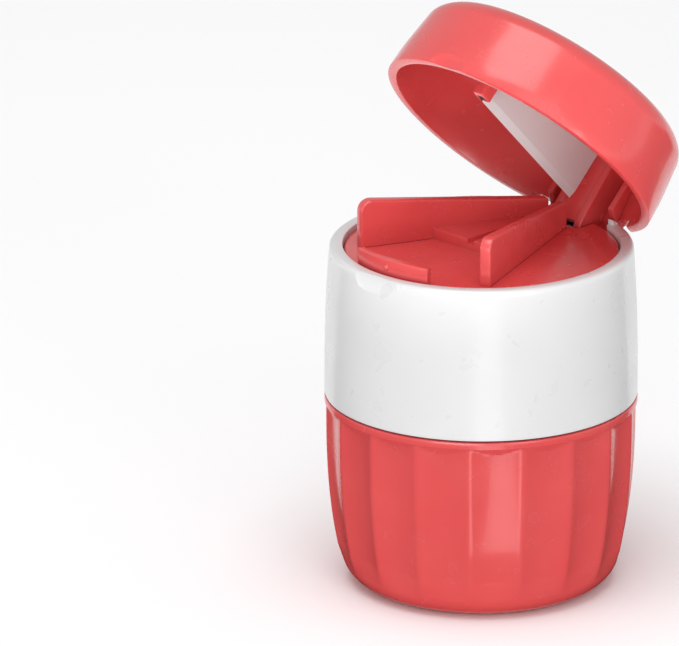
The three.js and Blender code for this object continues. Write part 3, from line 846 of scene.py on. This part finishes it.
        def shape(radius: Array, angle: Array, z: Array) -> Array:
            """Ripples the inner step into a fine knurl: a cosine of the angle times the teeth."""
            made = radius.copy()
            made[knurl] += self.knurl_depth * np.cos(self.knurl_teeth * angle[knurl])
            return made

        return make_object("crushing_pan", revolved(profile, 360, shape=shape), 30)

    def painted_hole_shades(self) -> bpy.types.Object:
        """Four small dark discs on the pan's wall, painted shade that stands for its holes, each a flat
        pillbox stood up to face the axis.
        """
        wall, height = float(self.pan_high[0]) - self.pan_sheet, float(self.pan_high[2]) - self.hole_shade_drop
        shade_discs = []
        for turn in np.radians([20, 110, 200, 290]):
            disc = revolved([(0, 0), (0.42, 0), (0.42, 0.03), (0, 0.03)], 24)
            out = np.array([math.sin(turn), -math.cos(turn), 0.0])
            across = np.array([math.cos(turn), math.sin(turn), 0.0])
            middle = out * (wall - 0.03) + np.array([0, 0, height])
            basis = np.stack([across, [0, 0, 1], out])
            shade_discs.append(disc.mapped(lambda p, b=basis, m=middle: p @ b + m))
        return join("pan_wall_painted_hole_shades", [make_object(f"pan_painted_hole_shade_{i}", each) for i, each in enumerate(shade_discs)])

    def anvil(self) -> bpy.types.Object:
        """Mirror disc: a flat face with a turned groove near its rounded rim."""
        low, high = self.shop.node_box("anvil_disc")
        radius, base, top = float(high[0]), float(low[2]), float(high[2])
        groove = [(radius - 1.3, top), (radius - 1.2, top - 0.12)]
        groove += [(radius - 1.0, top - 0.12), (radius - 0.9, top)]
        rim = rounded([(radius - 0.5, top), (radius, top), (radius, base), (0, base)], 0.25, 4, loop=False)
        return make_object("anvil_mirror_disc", revolved([(0, top), *groove, *rim], 240), 25)

    def build(self) -> None:
        """Makes the cup's pieces."""
        place = self.shop.place
        place(self.shell(), CORAL, "coral_abs", "cup", "fluted_shell")
        place(self.liner(), CORAL, "coral_liner", "cup", "cup_liner")
        pan = self.pan()
        # Painted shade: dark discs on the pan's wall stand for the shade in its holes.
        place(self.painted_hole_shades(), PAINTED_HOLE_SHADE, "pan_steel", "cup")
        place(pan, PAN_STEEL, "pan_steel", "cup", "crush_pan")
        place(self.anvil(), MIRROR_STEEL, "mirror_steel", "cup", "anvil_disc")


# ---------------------------------------------------------------- press
@dataclass
class Press:
    """The press plate, and the plunger and threaded carrier that drive it."""

    shop: Workshop
    stud: float = 2.0
    disc: float = 1.2
    plunger_wall: float = 1.8
    stud_hole: float = 2.35
    boss: float = 2.6
    boss_bore: float = 1.3
    boss_height: float = 9.0
    screw_head: float = 2.2
    carrier_wall: float = 1.7

    def plate(self) -> bpy.types.Object:
        """Press plate with its stud and three turned rings on its working face."""
        low, high = self.shop.node_box("press_plate")
        radius, base, top = float(high[0]), float(low[2]), float(high[2])
        face = base + self.disc
        rings: Outline = [(0, base)]
        for r in (6.0, 12.0, 17.5):
            rings += [(r, base), (r + 0.1, base + 0.1), (r + 0.3, base + 0.1), (r + 0.4, base)]
        edge = [(radius - 0.8, base), (radius, base), (radius, face), (self.stud, face)]
        rim = rounded(edge, 0.3, 4, loop=False)
        stud = [(self.stud, top - 0.3), (self.stud - 0.3, top), (0, top)]
        return make_object("press_plate_steel", revolved([*rings, *rim, *stud], 200), 25)

    def plunger(self) -> bpy.types.Object:
        """Hollow plunger: a cup with rounded edges and three screw bosses."""
        low, high = self.shop.node_box("plunger")
        radius, base, top = float(high[0]), float(low[2]), float(high[2])
        inner, hole = radius - self.plunger_wall, self.stud_hole
        loop = [(hole, base), (radius, base), (radius, top), (inner, top)]
        loop += [(inner, base + self.plunger_wall), (hole, base + self.plunger_wall)]
        body = revolved(rounded(loop, [0.1, 0.8, 0.2, 0.2, 0.6, 0.1], 4), 180, closed=True)
        for i in range(3):
            x, y, _ = self.shop.node_box(f"plunger_screw_{i + 1}")[0] + self.screw_head
            foot = top - self.boss_height
            ring = [(self.boss_bore, foot), (self.boss, foot), (self.boss, top), (self.boss_bore, top)]
            body = body + revolved(ring, 40, closed=True).shifted(float(x), float(y))
        return make_object("plunger_hollow", body)

    def carrier(self) -> bpy.types.Object:
        """Threaded carrier: a cap whose wall carries the female thread."""
        thread = Thread()
        low, high = self.shop.node_box("thread_carrier")
        radius, base, top = float(high[0]), float(low[2]), float(high[2])
        ceiling = top - self.carrier_wall
        inner = radius - self.carrier_wall - thread.depth
        wall = [(inner, z) for z in heights(ceiling, base, 0.2).tolist()]
        profile = [(0, ceiling), *wall, (radius - 0.3, base), (radius, base + 0.3), (radius, top - 0.3)]
        profile += [(radius - 0.3, top), (0, top)]
        threaded = range(1, len(wall) + 1)

        def shape(r: Array, angle: Array, z: Array) -> Array:
            """Sinks the thread into the wall."""
            made = r.copy()
            made[threaded] += (thread.depth * thread.ridge(angle, z))[threaded]
            return made

        return make_object("thread_carrier_nut", revolved(profile, 240, shape=shape), 35)

    def build(self) -> None:
        """Makes the press's pieces, and dresses the hidden screws."""
        place = self.shop.place
        place(self.plate(), PAN_STEEL, "pan_steel", "press", "press_plate")
        place(self.plunger(), WHITE_SATIN, "white_inner", "top", "plunger")
        place(self.carrier(), WHITE_SATIN, "white_inner", "top", "thread_carrier")
        for node in ("press_retainer", "plunger_screw_1", "plunger_screw_2", "plunger_screw_3"):
            self.shop.finishes.dress(self.shop.frame["nodes"][node], SCREW_STEEL)


# ---------------------------------------------------------------- sleeve and bed
@dataclass
class Hinge:
    """Where the lid turns, and the notch that it turns in."""

    shop: Workshop
    drop: float = 3.0
    notch_half: float = 9.3
    notch_depth: float = 8.2
    cheek: float = 3.0
    cheek_rise: float = 0.8
    pin_radius: float = 1.0
    arm_inner: float = 2.6
    arm_width: float = 1.7
    arm_reach: float = 3.3
    arm_lean: float = 1.0
    arm_room: float = 0.6
    knuckle_gap: float = 1.0

    def __post_init__(self) -> None:
        """Reads the pin's place and the rest angle from the joint."""
        joint = self.shop.joint("lid_hinge")
        self.y, self.z = (float(v) / MM for v in joint["pos_m"][1:])
        self.open = math.radians(-joint["range_deg"][0])
        self.rim = self.z + self.drop
        self.arm_outer = self.arm_inner + self.arm_width
        self.well_front = self.y - self.arm_reach - self.arm_room

    def opened(self, shut: Surface) -> Surface:
        """Turns a piece from the shut lid to the open one: a rotation in the YZ plane about the pin.

        Args:
            shut: The piece with the lid shut.

        Returns:
            The piece with the lid at rest.
        """
        c, s = math.cos(self.open), math.sin(self.open)

        def turn(p: Array) -> Array:
            """Rotates points about the pin."""
            y, z = p[:, 1] - self.y, p[:, 2] - self.z
            return np.column_stack([p[:, 0], self.y + y * c + z * s, self.z - y * s + z * c])

        return shut.mapped(turn)


@dataclass
class Top:
    """The white sleeve and all that is fixed to its top: bed, guide walls, catch tongue and hinge pin."""

    shop: Workshop
    hinge: Hinge
    wall: float = 2.5
    taper: float = 1.0
    bed_drop: float = 0.9
    platform_rise: float = 2.2
    platform_front: float = -3.0
    guide_rear_spread: float = 2.0
    guide_rear_inset: float = 0.9
    guide_front: tuple[float, float] = (16.8, -16.3)
    guide_wall: float = 2.2
    guide_tops: tuple[float, float] = (4.1, 8.7)
    tongue_half_deg: float = 21.0
    tongue_wall: float = 1.5
    tongue_top: float = 2.9
    crown: float = 0.35  # how much the tongue's top rises towards its middle
    seam: float = 0.3  # the gap between neighbours
    sink: float = 0.35  # how far what stands on the bed goes into it
    groove_half: float = 0.9  # the blade's groove in the platform
    well_wall: float = 1.2
    thumb: tuple[float, float, float] = (8.2, 1.2, 3.3)

    def __post_init__(self) -> None:
        """Reads the sleeve's sizes from the frame."""
        low, high = self.shop.node_box("outer_sleeve")
        self.radius, self.base = float(high[0]), float(low[2])
        self.rim, self.rim_radius = self.hinge.rim, float(high[0]) - self.taper
        self.bed = self.rim - self.bed_drop
        self.bed_radius = self.rim_radius - self.wall - self.seam
        self.guide_rear = (self.guide_rear_spread, self.hinge.well_front - self.guide_rear_inset)

    def sleeve(self) -> bpy.types.Object:
        """Outer sleeve: a wall that draws in to a rounded rim, with the hinge notch and a thumb recess."""
        z = heights(self.base, self.rim - 0.6, 0.8)
        share = (z - self.base) / (self.rim - self.base)
        outer = self.radius - self.taper * share**2.6
        outside = [(self.radius - 0.3, self.base), (self.radius - 0.08, self.base + 0.08)]
        outside += list(zip(outer.tolist(), (z + np.where(z == z[0], 0.3, 0)).tolist()))
        rim_outer = [(self.rim_radius - 0.12, self.rim - 0.3), (self.rim_radius - 0.4, self.rim - 0.08)]
        rim_outer += [(self.rim_radius - 0.8, self.rim), (self.rim_radius - self.wall + 0.4, self.rim)]
        bore = self.rim_radius - self.wall
        rim_inner = [(bore + 0.1, self.rim - 0.08), (bore, self.rim - 0.3)]
        inner = [(r - self.wall, h) for r, h in zip(outer[::-4].tolist(), z[::-4].tolist())]
        section = outside + rim_outer + rim_inner + inner[1:] + [(outside[0][0] - 2.2, self.base)]
        body = revolved(section, 288, closed=True)
        hinge = self.hinge
        half = hinge.notch_half
        sleeve = make_object("white_outer_sleeve", body, 35)
        notch = bar((-half, 0, self.rim - hinge.notch_depth), (half, BEYOND, self.rim + 5), 0.5)
        thumb = ellipsoid((0, -(self.rim_radius + 0.4), self.rim), self.thumb)
        carve(sleeve, notch, thumb)
        extras = []
        for side in (-1, 1):
            x0, x1 = stretch(side, half, half + hinge.cheek)
            low = (x0, hinge.y - 3.3, hinge.z - 3.2)
            cheek = bar(low, (x1, hinge.y + 1.2, hinge.z + hinge.cheek_rise), 0.3)
            f0, f1 = stretch(side, half, half + 1.4)
            edge = math.sqrt(self.rim_radius**2 - (half + 1.4) ** 2)
            slope = [(edge - 1.9, self.rim - 1), (edge - 0.5, self.rim - 1), (edge - 0.5, self.rim + 0.2)]
            fin = sideways(slab(rounded([*slope, (edge - 1.9, self.rim + 1.1)], 0.2, 3), f0, f1, 0.15, 3))
            extras += [make_object("cheek", cheek), make_object("fin", fin)]
        return join("white_outer_sleeve", [sleeve, *extras])

    def spread(self, y: float) -> float:
        """Half the distance between the guide walls' outer faces: a straight line between their ends."""
        (rx, ry), (fx, fy) = self.guide_rear, self.guide_front
        return rx + (fx - rx) * (ry - y) / (ry - fy) + self.guide_wall / 2

    def cutting_bed(self) -> bpy.types.Object:
        """Bed: a shallow dish with a rounded rim, the hinge well at its rear, and the platform on top."""
        hinge, r = self.hinge, self.bed_radius
        foot = float(self.shop.node_box("cutter_bed")[0][2])
        profile = [(0, self.bed - 2), (r - 1.3, self.bed - 2), (r - 1.3, foot), (r, foot)]
        profile += [(r, self.bed - 0.4), (r - 0.06, self.bed - 0.2), (r - 0.2, self.bed - 0.06)]
        profile += [(r - 0.4, self.bed)]
        profile += [(r - 1, self.bed), (0, self.bed)]
        dish = make_object("cutting_bed", revolved(profile, 240), 35)
        half, front = hinge.notch_half + hinge.cheek + 0.6, hinge.well_front
        floor, roof = self.rim - hinge.notch_depth - 0.5, hinge.z + hinge.pin_radius + 0.3
        side = hinge.arm_outer + hinge.knuckle_gap
        well = bar((-half, front, floor), (half, BEYOND, roof), 0.4)
        knuckles = bar((-side, front, floor), (side, BEYOND, self.rim), 0.4)
        carve(dish, well, knuckles)
        out = self.well_wall
        tub = bar((-half - out, front - out, floor - out), (half + out, r - 4.6, self.bed - 1), 0.3)
        tub_piece = carve(make_object("well", tub), well, knuckles)
        rear = front - self.seam
        plan = [(-self.spread(rear), rear), (-self.spread(self.platform_front), self.platform_front)]
        plan += [(-x, y) for x, y in plan[::-1]]
        top = self.bed + self.platform_rise
        platform = make_object("platform", slab(rounded(plan, 0.6, 5), self.bed - 0.5, top, 0.1))
        edge = float(self.shop.node_box("cutter_bed")[1][2]) - 0.3
        groove = self.groove_half
        carve(platform, bar((-groove, -30, edge - 0.6), (groove, 30, self.rim + 6), 0.12))
        return join("cutting_bed", [dish, tub_piece, platform])

    def guide(self, side: int) -> bpy.types.Object:
        """A guide wall: a plate that climbs towards its rounded front and stands on the bed and the platform.

        Args:
            side: -1 for the left wall, 1 for the right.

        Returns:
            The wall.
        """
        (rx, ry), (fx, fy) = self.guide_rear, self.guide_front
        length = math.hypot(fx - rx, fy - ry)
        low = self.bed - self.sink
        tops = [self.rim + h for h in self.guide_tops]
        corners = [(0, low), (length, low), (length, tops[1]), (0, tops[0])]
        outline = rounded(corners, [0.15, 0.15, 2.6, 0.5], 7)
        plate = slab(outline, -self.guide_wall / 2, self.guide_wall / 2, 0.32)
        along = np.array([side * (fx - rx), fy - ry]) / length

        def stand(p: Array) -> Array:
            """Stands the plate up along its line: s runs along it, h across it."""
            s, z, h = p.T
            x = side * rx + s * along[0] - h * along[1]
            return np.column_stack([x, ry + s * along[1] + h * along[0], z])

        name = "left" if side < 0 else "right"
        return make_object(f"guide_wall_{name}_plate", plate.mapped(stand))

    def tongue(self) -> bpy.types.Object:
        """Catch tongue: a plate bent round the bed's front, its top falling by the square of the angle."""
        outer = self.rim_radius - self.wall - 0.7
        half = math.radians(self.tongue_half_deg)
        low, top = self.bed - self.sink, self.rim + self.tongue_top
        steps = np.linspace(-half, half, 48)
        section = rounded([(0, low), (self.tongue_wall, low), (self.tongue_wall, top), (0, top)], 0.3, 4)
        depth, z = np.array(section).T
        drop = self.crown * (steps / half)[:, None] ** 2
        inward = outer - depth[None, :]
        lift = z[None, :] - drop * (z[None, :] > (low + top) / 2)
        points = np.stack([inward * np.sin(steps)[:, None], -inward * np.cos(steps)[:, None], lift], axis=-1)
        body = make_object("tongue_plate", capped(points))
        bump = make_object("bump", ellipsoid((0, -outer, self.rim + 1.2), (0.55, 0.45, 0.55)))
        return join("catch_tongue_plate", [body, bump])

    def build(self) -> None:
        """Makes the top's pieces."""
        place = self.shop.place
        place(self.sleeve(), WHITE, "white_abs", "top", "outer_sleeve")
        place(self.cutting_bed(), CORAL, "coral_abs", "top", "cutter_bed")
        place(self.guide(-1), CORAL, "coral_abs", "top", "guide_wall_left")
        place(self.guide(1), CORAL, "coral_abs", "top", "guide_wall_right")
        place(self.tongue(), CORAL, "coral_abs", "top", "catch_tongue")
        half = float(self.shop.node_box("hinge_pin")[1][0])
        pin = lathe_pin(-half, half, self.hinge.y, self.hinge.z, self.hinge.pin_radius)
        place(make_object("hinge_pin_rod", pin), SCREW_STEEL, "screw_steel", "top", "hinge_pin")


# ---------------------------------------------------------------- lid
@dataclass
class Lid:
    """The lid with its blade, worked out shut and then turned open about the pin."""

    shop: Workshop
    hinge: Hinge
    height: float = 16.7
    wall: float = 2.0
    shoulder_width: float = 5.85
    shoulder_height: float = 4.7
    hub: float = 2.9
    hook_deg: float = 17.0
    heel_depth: float = 5.0
    seam: float = 0.3  # the gap between neighbours
    side_gap: float = 0.4  # the heel's gap to the notch's sides
    blade_inset: float = 5.0  # the blade's rear end before the pin
    blade_length: float = 34.6
    blade_half: float = 0.35
    blade_bevel: float = 1.7
    blade_lift: float = 0.7
    holder_height: float = 3.2
    holder_half: float = 2.2
    slot_half: float = 0.65
    clip_half: float = 1.3
    pin_radius: float = 0.6

    def __post_init__(self) -> None:
        """Works out the lid's heights from the hinge."""
        self.rim = self.hinge.rim + self.seam
        self.top = self.rim + self.height
        self.roof = self.top - self.wall
        self.radius = float(self.shop.node_box("lid_shell")[1][0])
        self.blade_rear = self.hinge.y - self.blade_inset
        self.heel_half = self.hinge.notch_half - self.side_gap
        self.blade_front = self.blade_rear - self.blade_length
        self.edge = self.rim + self.blade_lift
        self.blade_top = self.roof - 1.7
        self.pin_z = self.roof - self.holder_height / 2 - 1.05

    def outer_profile(self) -> Outline:
        """The outside, rim to crown: a leaning wall, a quarter-ellipse shoulder and a flat crown."""
        r, wide, tall = self.radius, self.shoulder_width, self.shoulder_height
        crown = r - 7.0
        wall = [(r - 0.05, self.rim + 0.3), (r - 0.25, self.rim + 5), (crown + wide, self.top - tall)]
        turn = np.linspace(0, np.pi / 2, 25)[1:]
        shoulder = zip(crown + wide * np.cos(turn), self.top - tall + tall * np.sin(turn))
        lip = [(r - 0.4, self.rim), (r - 0.12, self.rim + 0.1)]
        return [*lip, *rounded(wall, 3.0, 12, loop=False), *shoulder, (0, self.top)]

    def shell(self) -> list[bpy.types.Object]:
        """The domed shell with its scallop, snap, side reliefs and heel."""
        r, inner = self.radius, self.radius - self.wall
        inside = [(0, self.roof), (r - 7, self.roof), (r - 4.2, self.roof - 0.5), (r - 3.1, self.top - 4.5)]
        inside += [(inner - 0.25, self.rim + 5), (inner, self.rim + 0.4)]
        soft = rounded(inside, [0, 1.5, 2.2, 2.5, 2, 0.2], 8, loop=False)
        profile = soft + [(inner + 0.08, self.rim + 0.1), (inner + 0.3, self.rim)] + self.outer_profile()
        dome = make_object("lid_dome", revolved(profile, 288), 35)
        scallop = ellipsoid((0, -(r + 0.3), self.rim + 0.3), (4.8, 1.2, 2.5))
        reach = self.hinge.notch_half + self.hinge.cheek + 0.5
        sides = []
        for side in (-1, 1):
            x0, x1 = stretch(side, self.heel_half, reach)
            sides.append(bar((x0, 5, self.rim - 3), (x1, BEYOND, self.rim + 1.5), 0.3))
        carve(dome, scallop, *sides)
        snap = ellipsoid((0, -(inner + 0.45), self.rim + 1.4), (0.9, 0.8, 0.8))
        hooks = []
        for turn in (math.radians(self.hook_deg), -math.radians(self.hook_deg)):
            c, d = math.cos(turn), math.sin(turn)
            ball = ellipsoid((0, -(inner + 0.05), self.rim + 1), (1.1, 0.95, 0.6))
            spun = ball.mapped(lambda p, c=c, d=d: p @ np.array([[c, d, 0], [-d, c, 0], [0, 0, 1]]))
            hooks.append(make_object("hook", spun))
        return [dome, make_object("snap", snap), make_object("heel", self.heel(inner)), *hooks]

    def heel(self, inner: float) -> Surface:
        """The wall that drops into the notch: a rounded section carried round the rear.

        Args:
            inner: The wall's inner radius.

        Returns:
            The closed wall.
        """
        r, low, high = self.radius, self.rim - self.heel_depth, self.rim + 1.2
        section = rounded([(inner, low), (r, low), (r, high), (inner, high)], 0.35, 4)
        radius, z = np.array(section).T
        angle = np.pi + np.linspace(-1, 1, 40)[:, None] * math.asin(self.heel_half / r)
        return capped(np.stack([radius * np.sin(angle), -radius * np.cos(angle), z + 0 * angle], -1))

    def arms(self) -> list[bpy.types.Object]:
        """Two hinge arms that end in hubs round the pin, the plate between them, and two ribs."""
        y, z = self.hinge.y, self.hinge.z
        hub = np.radians(np.linspace(200, 360, 24))
        front = y - self.hinge.arm_reach
        arm = [(front - self.hinge.arm_lean, self.roof + 0.5), (front, z + 0.6)]
        arm += [(y + self.hub * math.cos(a), z + self.hub * math.sin(a)) for a in hub]
        arm += [(self.radius - 1.3, self.rim), (self.radius - 1.8, self.top - 6)]
        arm += [(self.radius - 4, self.roof + 0.5)]
        fore, rear = y - 2.2, y + 1.3
        rib = [(fore, self.roof + 0.5), (fore, self.rim + 2), (rear, self.rim), (rear, self.roof)]
        pieces = []
        for side in (-1, 1):
            a0, a1 = stretch(side, self.hinge.arm_inner, self.hinge.arm_outer)
            r0, r1 = stretch(side, self.heel_half - 1.6, self.heel_half - 0.2)
            pieces.append(make_object("arm", sideways(slab(arm, a0, a1, 0.25, 3))))
            pieces.append(make_object("rib", sideways(slab(rounded(rib, 0.3, 3), r0, r1, 0.2, 3))))
        reach, lean = self.hinge.arm_inner + 0.5, self.hinge.arm_lean
        plate = [(front - lean, self.roof + 0.5), (front + 0.3, z + 0.6), (front + 1.5, z + 0.6)]
        plate += [(front - lean + 1.2, self.roof + 0.5)]
        pieces.append(make_object("plate", sideways(slab(plate, -reach, reach, 0.1, 2))))
        return pieces

    def blade_strip(self) -> Surface:
        """The blade: a strip whose lower edge narrows to a line over the bevel.

        Its section is drawn in (x, z) and swept along y, and its front is cut back above the toe.
        """
        h, e, b = self.blade_half, self.edge, self.edge + self.blade_bevel
        section = [(0.02, e), (h, b), (h, b + 0.02), (h, self.blade_top)]
        section += [(-x, z) for x, z in section[::-1]]
        x, z = np.array(section).T
        toe = self.edge + 3
        ends = np.array([self.blade_front, self.blade_front + 1.0, self.blade_front + 1.06, self.blade_rear])
        rows = []
        for i, y in enumerate(ends):
            height = np.minimum(z, toe) if i < 2 else z
            rows.append(np.column_stack([x, np.full(len(x), y), height]))
        return capped(np.stack(rows))

    def holder(self) -> Surface:
        """The rail that grips the blade's back: a U section swept along the blade."""
        top, h = self.roof - self.seam, self.holder_half
        low, slot, deep = top - self.holder_height, self.slot_half, self.blade_top + self.seam
        section = [(-h, low), (-slot, low), (-slot, deep), (slot, deep), (slot, low)]
        section += [(h, low), (h, top), (-h, top)]
        outline = rounded(section, [0.4, 0.15, 0.1, 0.1, 0.15, 0.4, 0.3, 0.3], 3)
        swept = slab(outline, self.blade_front + 2, self.blade_rear - 1, 0.2, 3)
        return swept.mapped(lambda p: p[:, [0, 2, 1]])

    def clip(self) -> Surface:
        """The post at the blade's front: two cheeks and a back, with rounded edges."""
        middle = self.blade_front - self.seam
        low, top = self.edge + 0.4, self.roof - self.seam
        half, slot = self.clip_half, self.slot_half
        front, back, rear = middle - 2.2, middle - 0.9, middle + 0.9
        plan = [(-half, front), (half, front), (half, rear), (slot, rear)]
        plan += [(slot, back), (-slot, back), (-slot, rear), (-half, rear)]
        outline = rounded(plan, [0.5, 0.5, 0.2, 0.15, 0.15, 0.15, 0.15, 0.2], 3)
        return slab(outline, low, top, 0.2, 3)

    def build(self) -> None:
        """Makes the lid's pieces, turned open."""
        place, turn = self.shop.place, self.hinge.opened
        shell = join("domed_lid", self.shell() + self.arms())
        self.turn_mesh(shell)
        place(shell, CORAL, "coral_abs", "lid", "lid_shell")
        holder = make_object("blade_rail", turn(self.holder()))
        place(holder, CORAL, "coral_abs", "lid", "blade_holder")
        place(make_object("blade_front_post", turn(self.clip())), CORAL, "coral_abs", "lid", "blade_clip")
        strip = make_object("splitter_blade", turn(self.blade_strip()), 8)
        place(strip, BLADE_STEEL, "blade_steel", "lid", "blade")
        for number, share in ((1, 0.25), (2, 0.75)):
            y = self.blade_front + share * self.blade_length
            half = self.holder_half
            rod = turn(lathe_pin(-half, half, y, self.pin_z, self.pin_radius, 0.15))
            pin = make_object(f"blade_pin_{number}_rod", rod)
            place(pin, SCREW_STEEL, "screw_steel", "lid", f"blade_pin_{number}")

    def turn_mesh(self, piece: bpy.types.Object) -> None:
        """Turns a finished mesh open about the pin.

        Args:
            piece: The lid as it is when shut.
        """
        places = np.empty(len(piece.data.vertices) * 3)
        piece.data.vertices.foreach_get("co", places)
        opened = self.hinge.opened(Surface(places.reshape(-1, 3) / MM, [])).points * MM
        piece.data.vertices.foreach_set("co", opened.ravel())
        piece.data.update()


# ---------------------------------------------------------------- stage
@dataclass
class Stage:
    """A pale floor, soft lights, cards for the reflections, and the camera."""

    azimuth: float = 45.0
    elevation: float = 19.0
    distance: float = 2.5
    across: float = 0.1298  # width of the view at the object, in metres
    aim_height: float = 0.0512
    lid_height: float = 0.095  # the open lid's middle
    lid_behind: float = 0.012
    sky: float = 0.55
    floor_half_mm: float = 3000.0
    sidestep: float = 0.0271  # how far left of the axis the camera stands, for framing

    def floor(self) -> None:
        """A wide pale floor, matt and even."""
        corners = np.array([(-1, -1, 0), (1, -1, 0), (1, 1, 0), (-1, 1, 0)]) * self.floor_half_mm
        plane = make_object("studio_floor", Surface(corners, [[0, 1, 2, 3]]))
        material, tree = blank_material("matt_white_sweep")
        place = add_node(tree, "ShaderNodeTexCoord").outputs["Object"]
        mottle = add_node(tree, "ShaderNodeTexNoise", {"Scale": per_mm(90)}, {"Vector": place})
        ramp = add_node(tree, "ShaderNodeValToRGB", None, {"Fac": mottle.outputs["Fac"]})
        ramp.color_ramp.elements[0].color = linear("#fbfbfc")
        ramp.color_ramp.elements[1].color = linear("#fdfdfe")
        matt = {"Roughness": 0.8, "Specular IOR Level": 0.0}
        shader = add_node(tree, "ShaderNodeBsdfPrincipled", matt, {"Base Color": ramp.outputs["Color"]})
        add_node(tree, "ShaderNodeOutputMaterial", None, {"Surface": shader.outputs["BSDF"]})
        plane.data.materials.append(material)

    def light(
        self, name: str, bearing: float, height: float, away: float, size: tuple[float, float], watts: float
    ) -> None:
        """A soft rectangular light aimed at the object.

        Args:
            name: The light's name.
            bearing: Azimuth in degrees, as the camera's.
            height: Elevation in degrees.
            away: Distance in metres.
            size: Width and height in metres.
            watts: Power.
        """
        lamp = bpy.data.lights.new(name, "AREA")
        lamp.shape, lamp.energy = "RECTANGLE", watts
        lamp.size, lamp.size_y = size
        self.aim(put_in_scene(name, lamp), bearing, height, away)

    def spot(self, name: str, bearing: float, height: float, away: float, watts: float) -> None:
        """A narrow spotlight on the inside of the open lid, unseen in reflections.

        Args:
            name: The light's name.
            bearing: Azimuth in degrees, as the camera's.
            height: Elevation in degrees.
            away: Distance in metres from the open lid's middle.
            watts: Power.
        """
        lamp = bpy.data.lights.new(name, "SPOT")
        lamp.energy, lamp.shadow_soft_size = watts, 0.02
        lamp.spot_size, lamp.spot_blend = math.radians(10), 0.5
        holder = put_in_scene(name, lamp)
        self.aim(holder, bearing, height, away)
        holder.location += Vector((0, self.lid_behind, self.lid_height - self.aim_height))
        holder.visible_glossy = False

    def card(self, name: str, start: float, end: float, near: float, far: float, glow: float) -> None:
        """A studio card that lies round the object's front and that only its glossy reflections see.

        Args:
            name: The card's name.
            start: Bearing of one edge from the camera's, in degrees.
            end: Bearing of the other edge.
            near: Distance from the axis to its near edge, in millimetres.
            far: Distance to its far edge.
            glow: Its brightness: dark for a flag, bright for a reflector.
        """
        steps = 24
        turn = np.radians(self.azimuth + np.linspace(start, end, steps))
        ring = [(r * np.sin(turn), -r * np.cos(turn), 0 * turn + 0.5) for r in (near, far)]
        points = np.stack([np.column_stack(each) for each in ring]).reshape(-1, 3)
        faces = [[i, i + 1, i + steps + 1, i + steps] for i in range(steps - 1)]
        piece = make_object(name, Surface(points, faces))
        material, tree = blank_material(name)
        shader = add_node(tree, "ShaderNodeEmission", {"Strength": glow})
        add_node(tree, "ShaderNodeOutputMaterial", None, {"Surface": shader.outputs["Emission"]})
        piece.data.materials.append(material)
        for ray in ("camera", "diffuse", "shadow", "transmission"):
            setattr(piece, f"visible_{ray}", False)

    def aim(self, thing: bpy.types.Object, bearing: float, height: float, away: float) -> None:
        """Puts a light or camera on a sphere round the object, looking at its middle.

        Args:
            thing: The light or camera.
            bearing: Azimuth in degrees.
            height: Elevation in degrees.
            away: Distance in metres.
        """
        a, e = math.radians(bearing), math.radians(height)
        way = Vector((math.sin(a) * math.cos(e), -math.cos(a) * math.cos(e), math.sin(e)))
        thing.location = Vector((0, 0, self.aim_height)) + way * away
        thing.rotation_euler = way.to_track_quat("Z", "Y").to_euler()

    def build(self) -> None:
        """Sets the floor, lights, sky and camera."""
        self.floor()
        scene = bpy.context.scene
        scene.view_settings.view_transform = "Standard"
        world = bpy.data.worlds.new("studio_sky")
        world.use_nodes = True
        world.node_tree.nodes["Background"].inputs["Color"].default_value = linear("#ffffff")
        world.node_tree.nodes["Background"].inputs["Strength"].default_value = self.sky
        scene.world = world
        self.light("key_softbox", self.azimuth + 10, 30, 2.0, (1.4, 1.4), 5.0)
        self.light("low_fill", self.azimuth - 18, 4, 1.6, (1.0, 0.4), 7.0)
        self.light("side_fill", self.azimuth + 30, 8, 1.6, (0.6, 0.4), 2.5)
        self.light("top_softbox", self.azimuth - 20, 78, 2.2, (1.6, 1.6), 24.0)
        self.spot("left_lid_spot", self.azimuth - 35, -16, 0.32, 2.2)
        self.spot("right_lid_spot", self.azimuth + 18, -16, 0.32, 1.2)
        self.card("left_flag", -126.0, -5.0, 24.0, 500.0, 0.02)
        self.card("near_flag", -5.0, 14.0, 24.0, 48.0, 0.02)
        self.card("front_reflector", -4.0, 13.0, 48.0, 500.0, 1.9)
        self.card("right_flag", 14.0, 126.0, 24.0, 500.0, 0.02)
        lens = bpy.data.cameras.new("camera")
        lens.sensor_width = 36.0
        lens.lens = lens.sensor_width * self.distance / self.across
        lens.clip_end = 20.0
        camera = put_in_scene("camera", lens)
        self.aim(camera, self.azimuth, self.elevation, self.distance)
        bearing = math.radians(self.azimuth)
        camera.location -= Vector((math.cos(bearing), math.sin(bearing), 0)) * self.sidestep
        scene.camera = camera


def main() -> None:
    """Loads the frame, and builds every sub-assembly round it."""
    logging.basicConfig(level=logging.INFO, format="%(name)s: %(message)s")
    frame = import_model()
    shop = Workshop(frame)
    hinge = Hinge(shop)
    for assembly in (Stage(), Cup(shop), Press(shop), Top(shop, hinge), Lid(shop, hinge)):
        assembly.build()
        LOG.info("%s built", type(assembly).__name__)


if __name__ == "__main__":
    main()
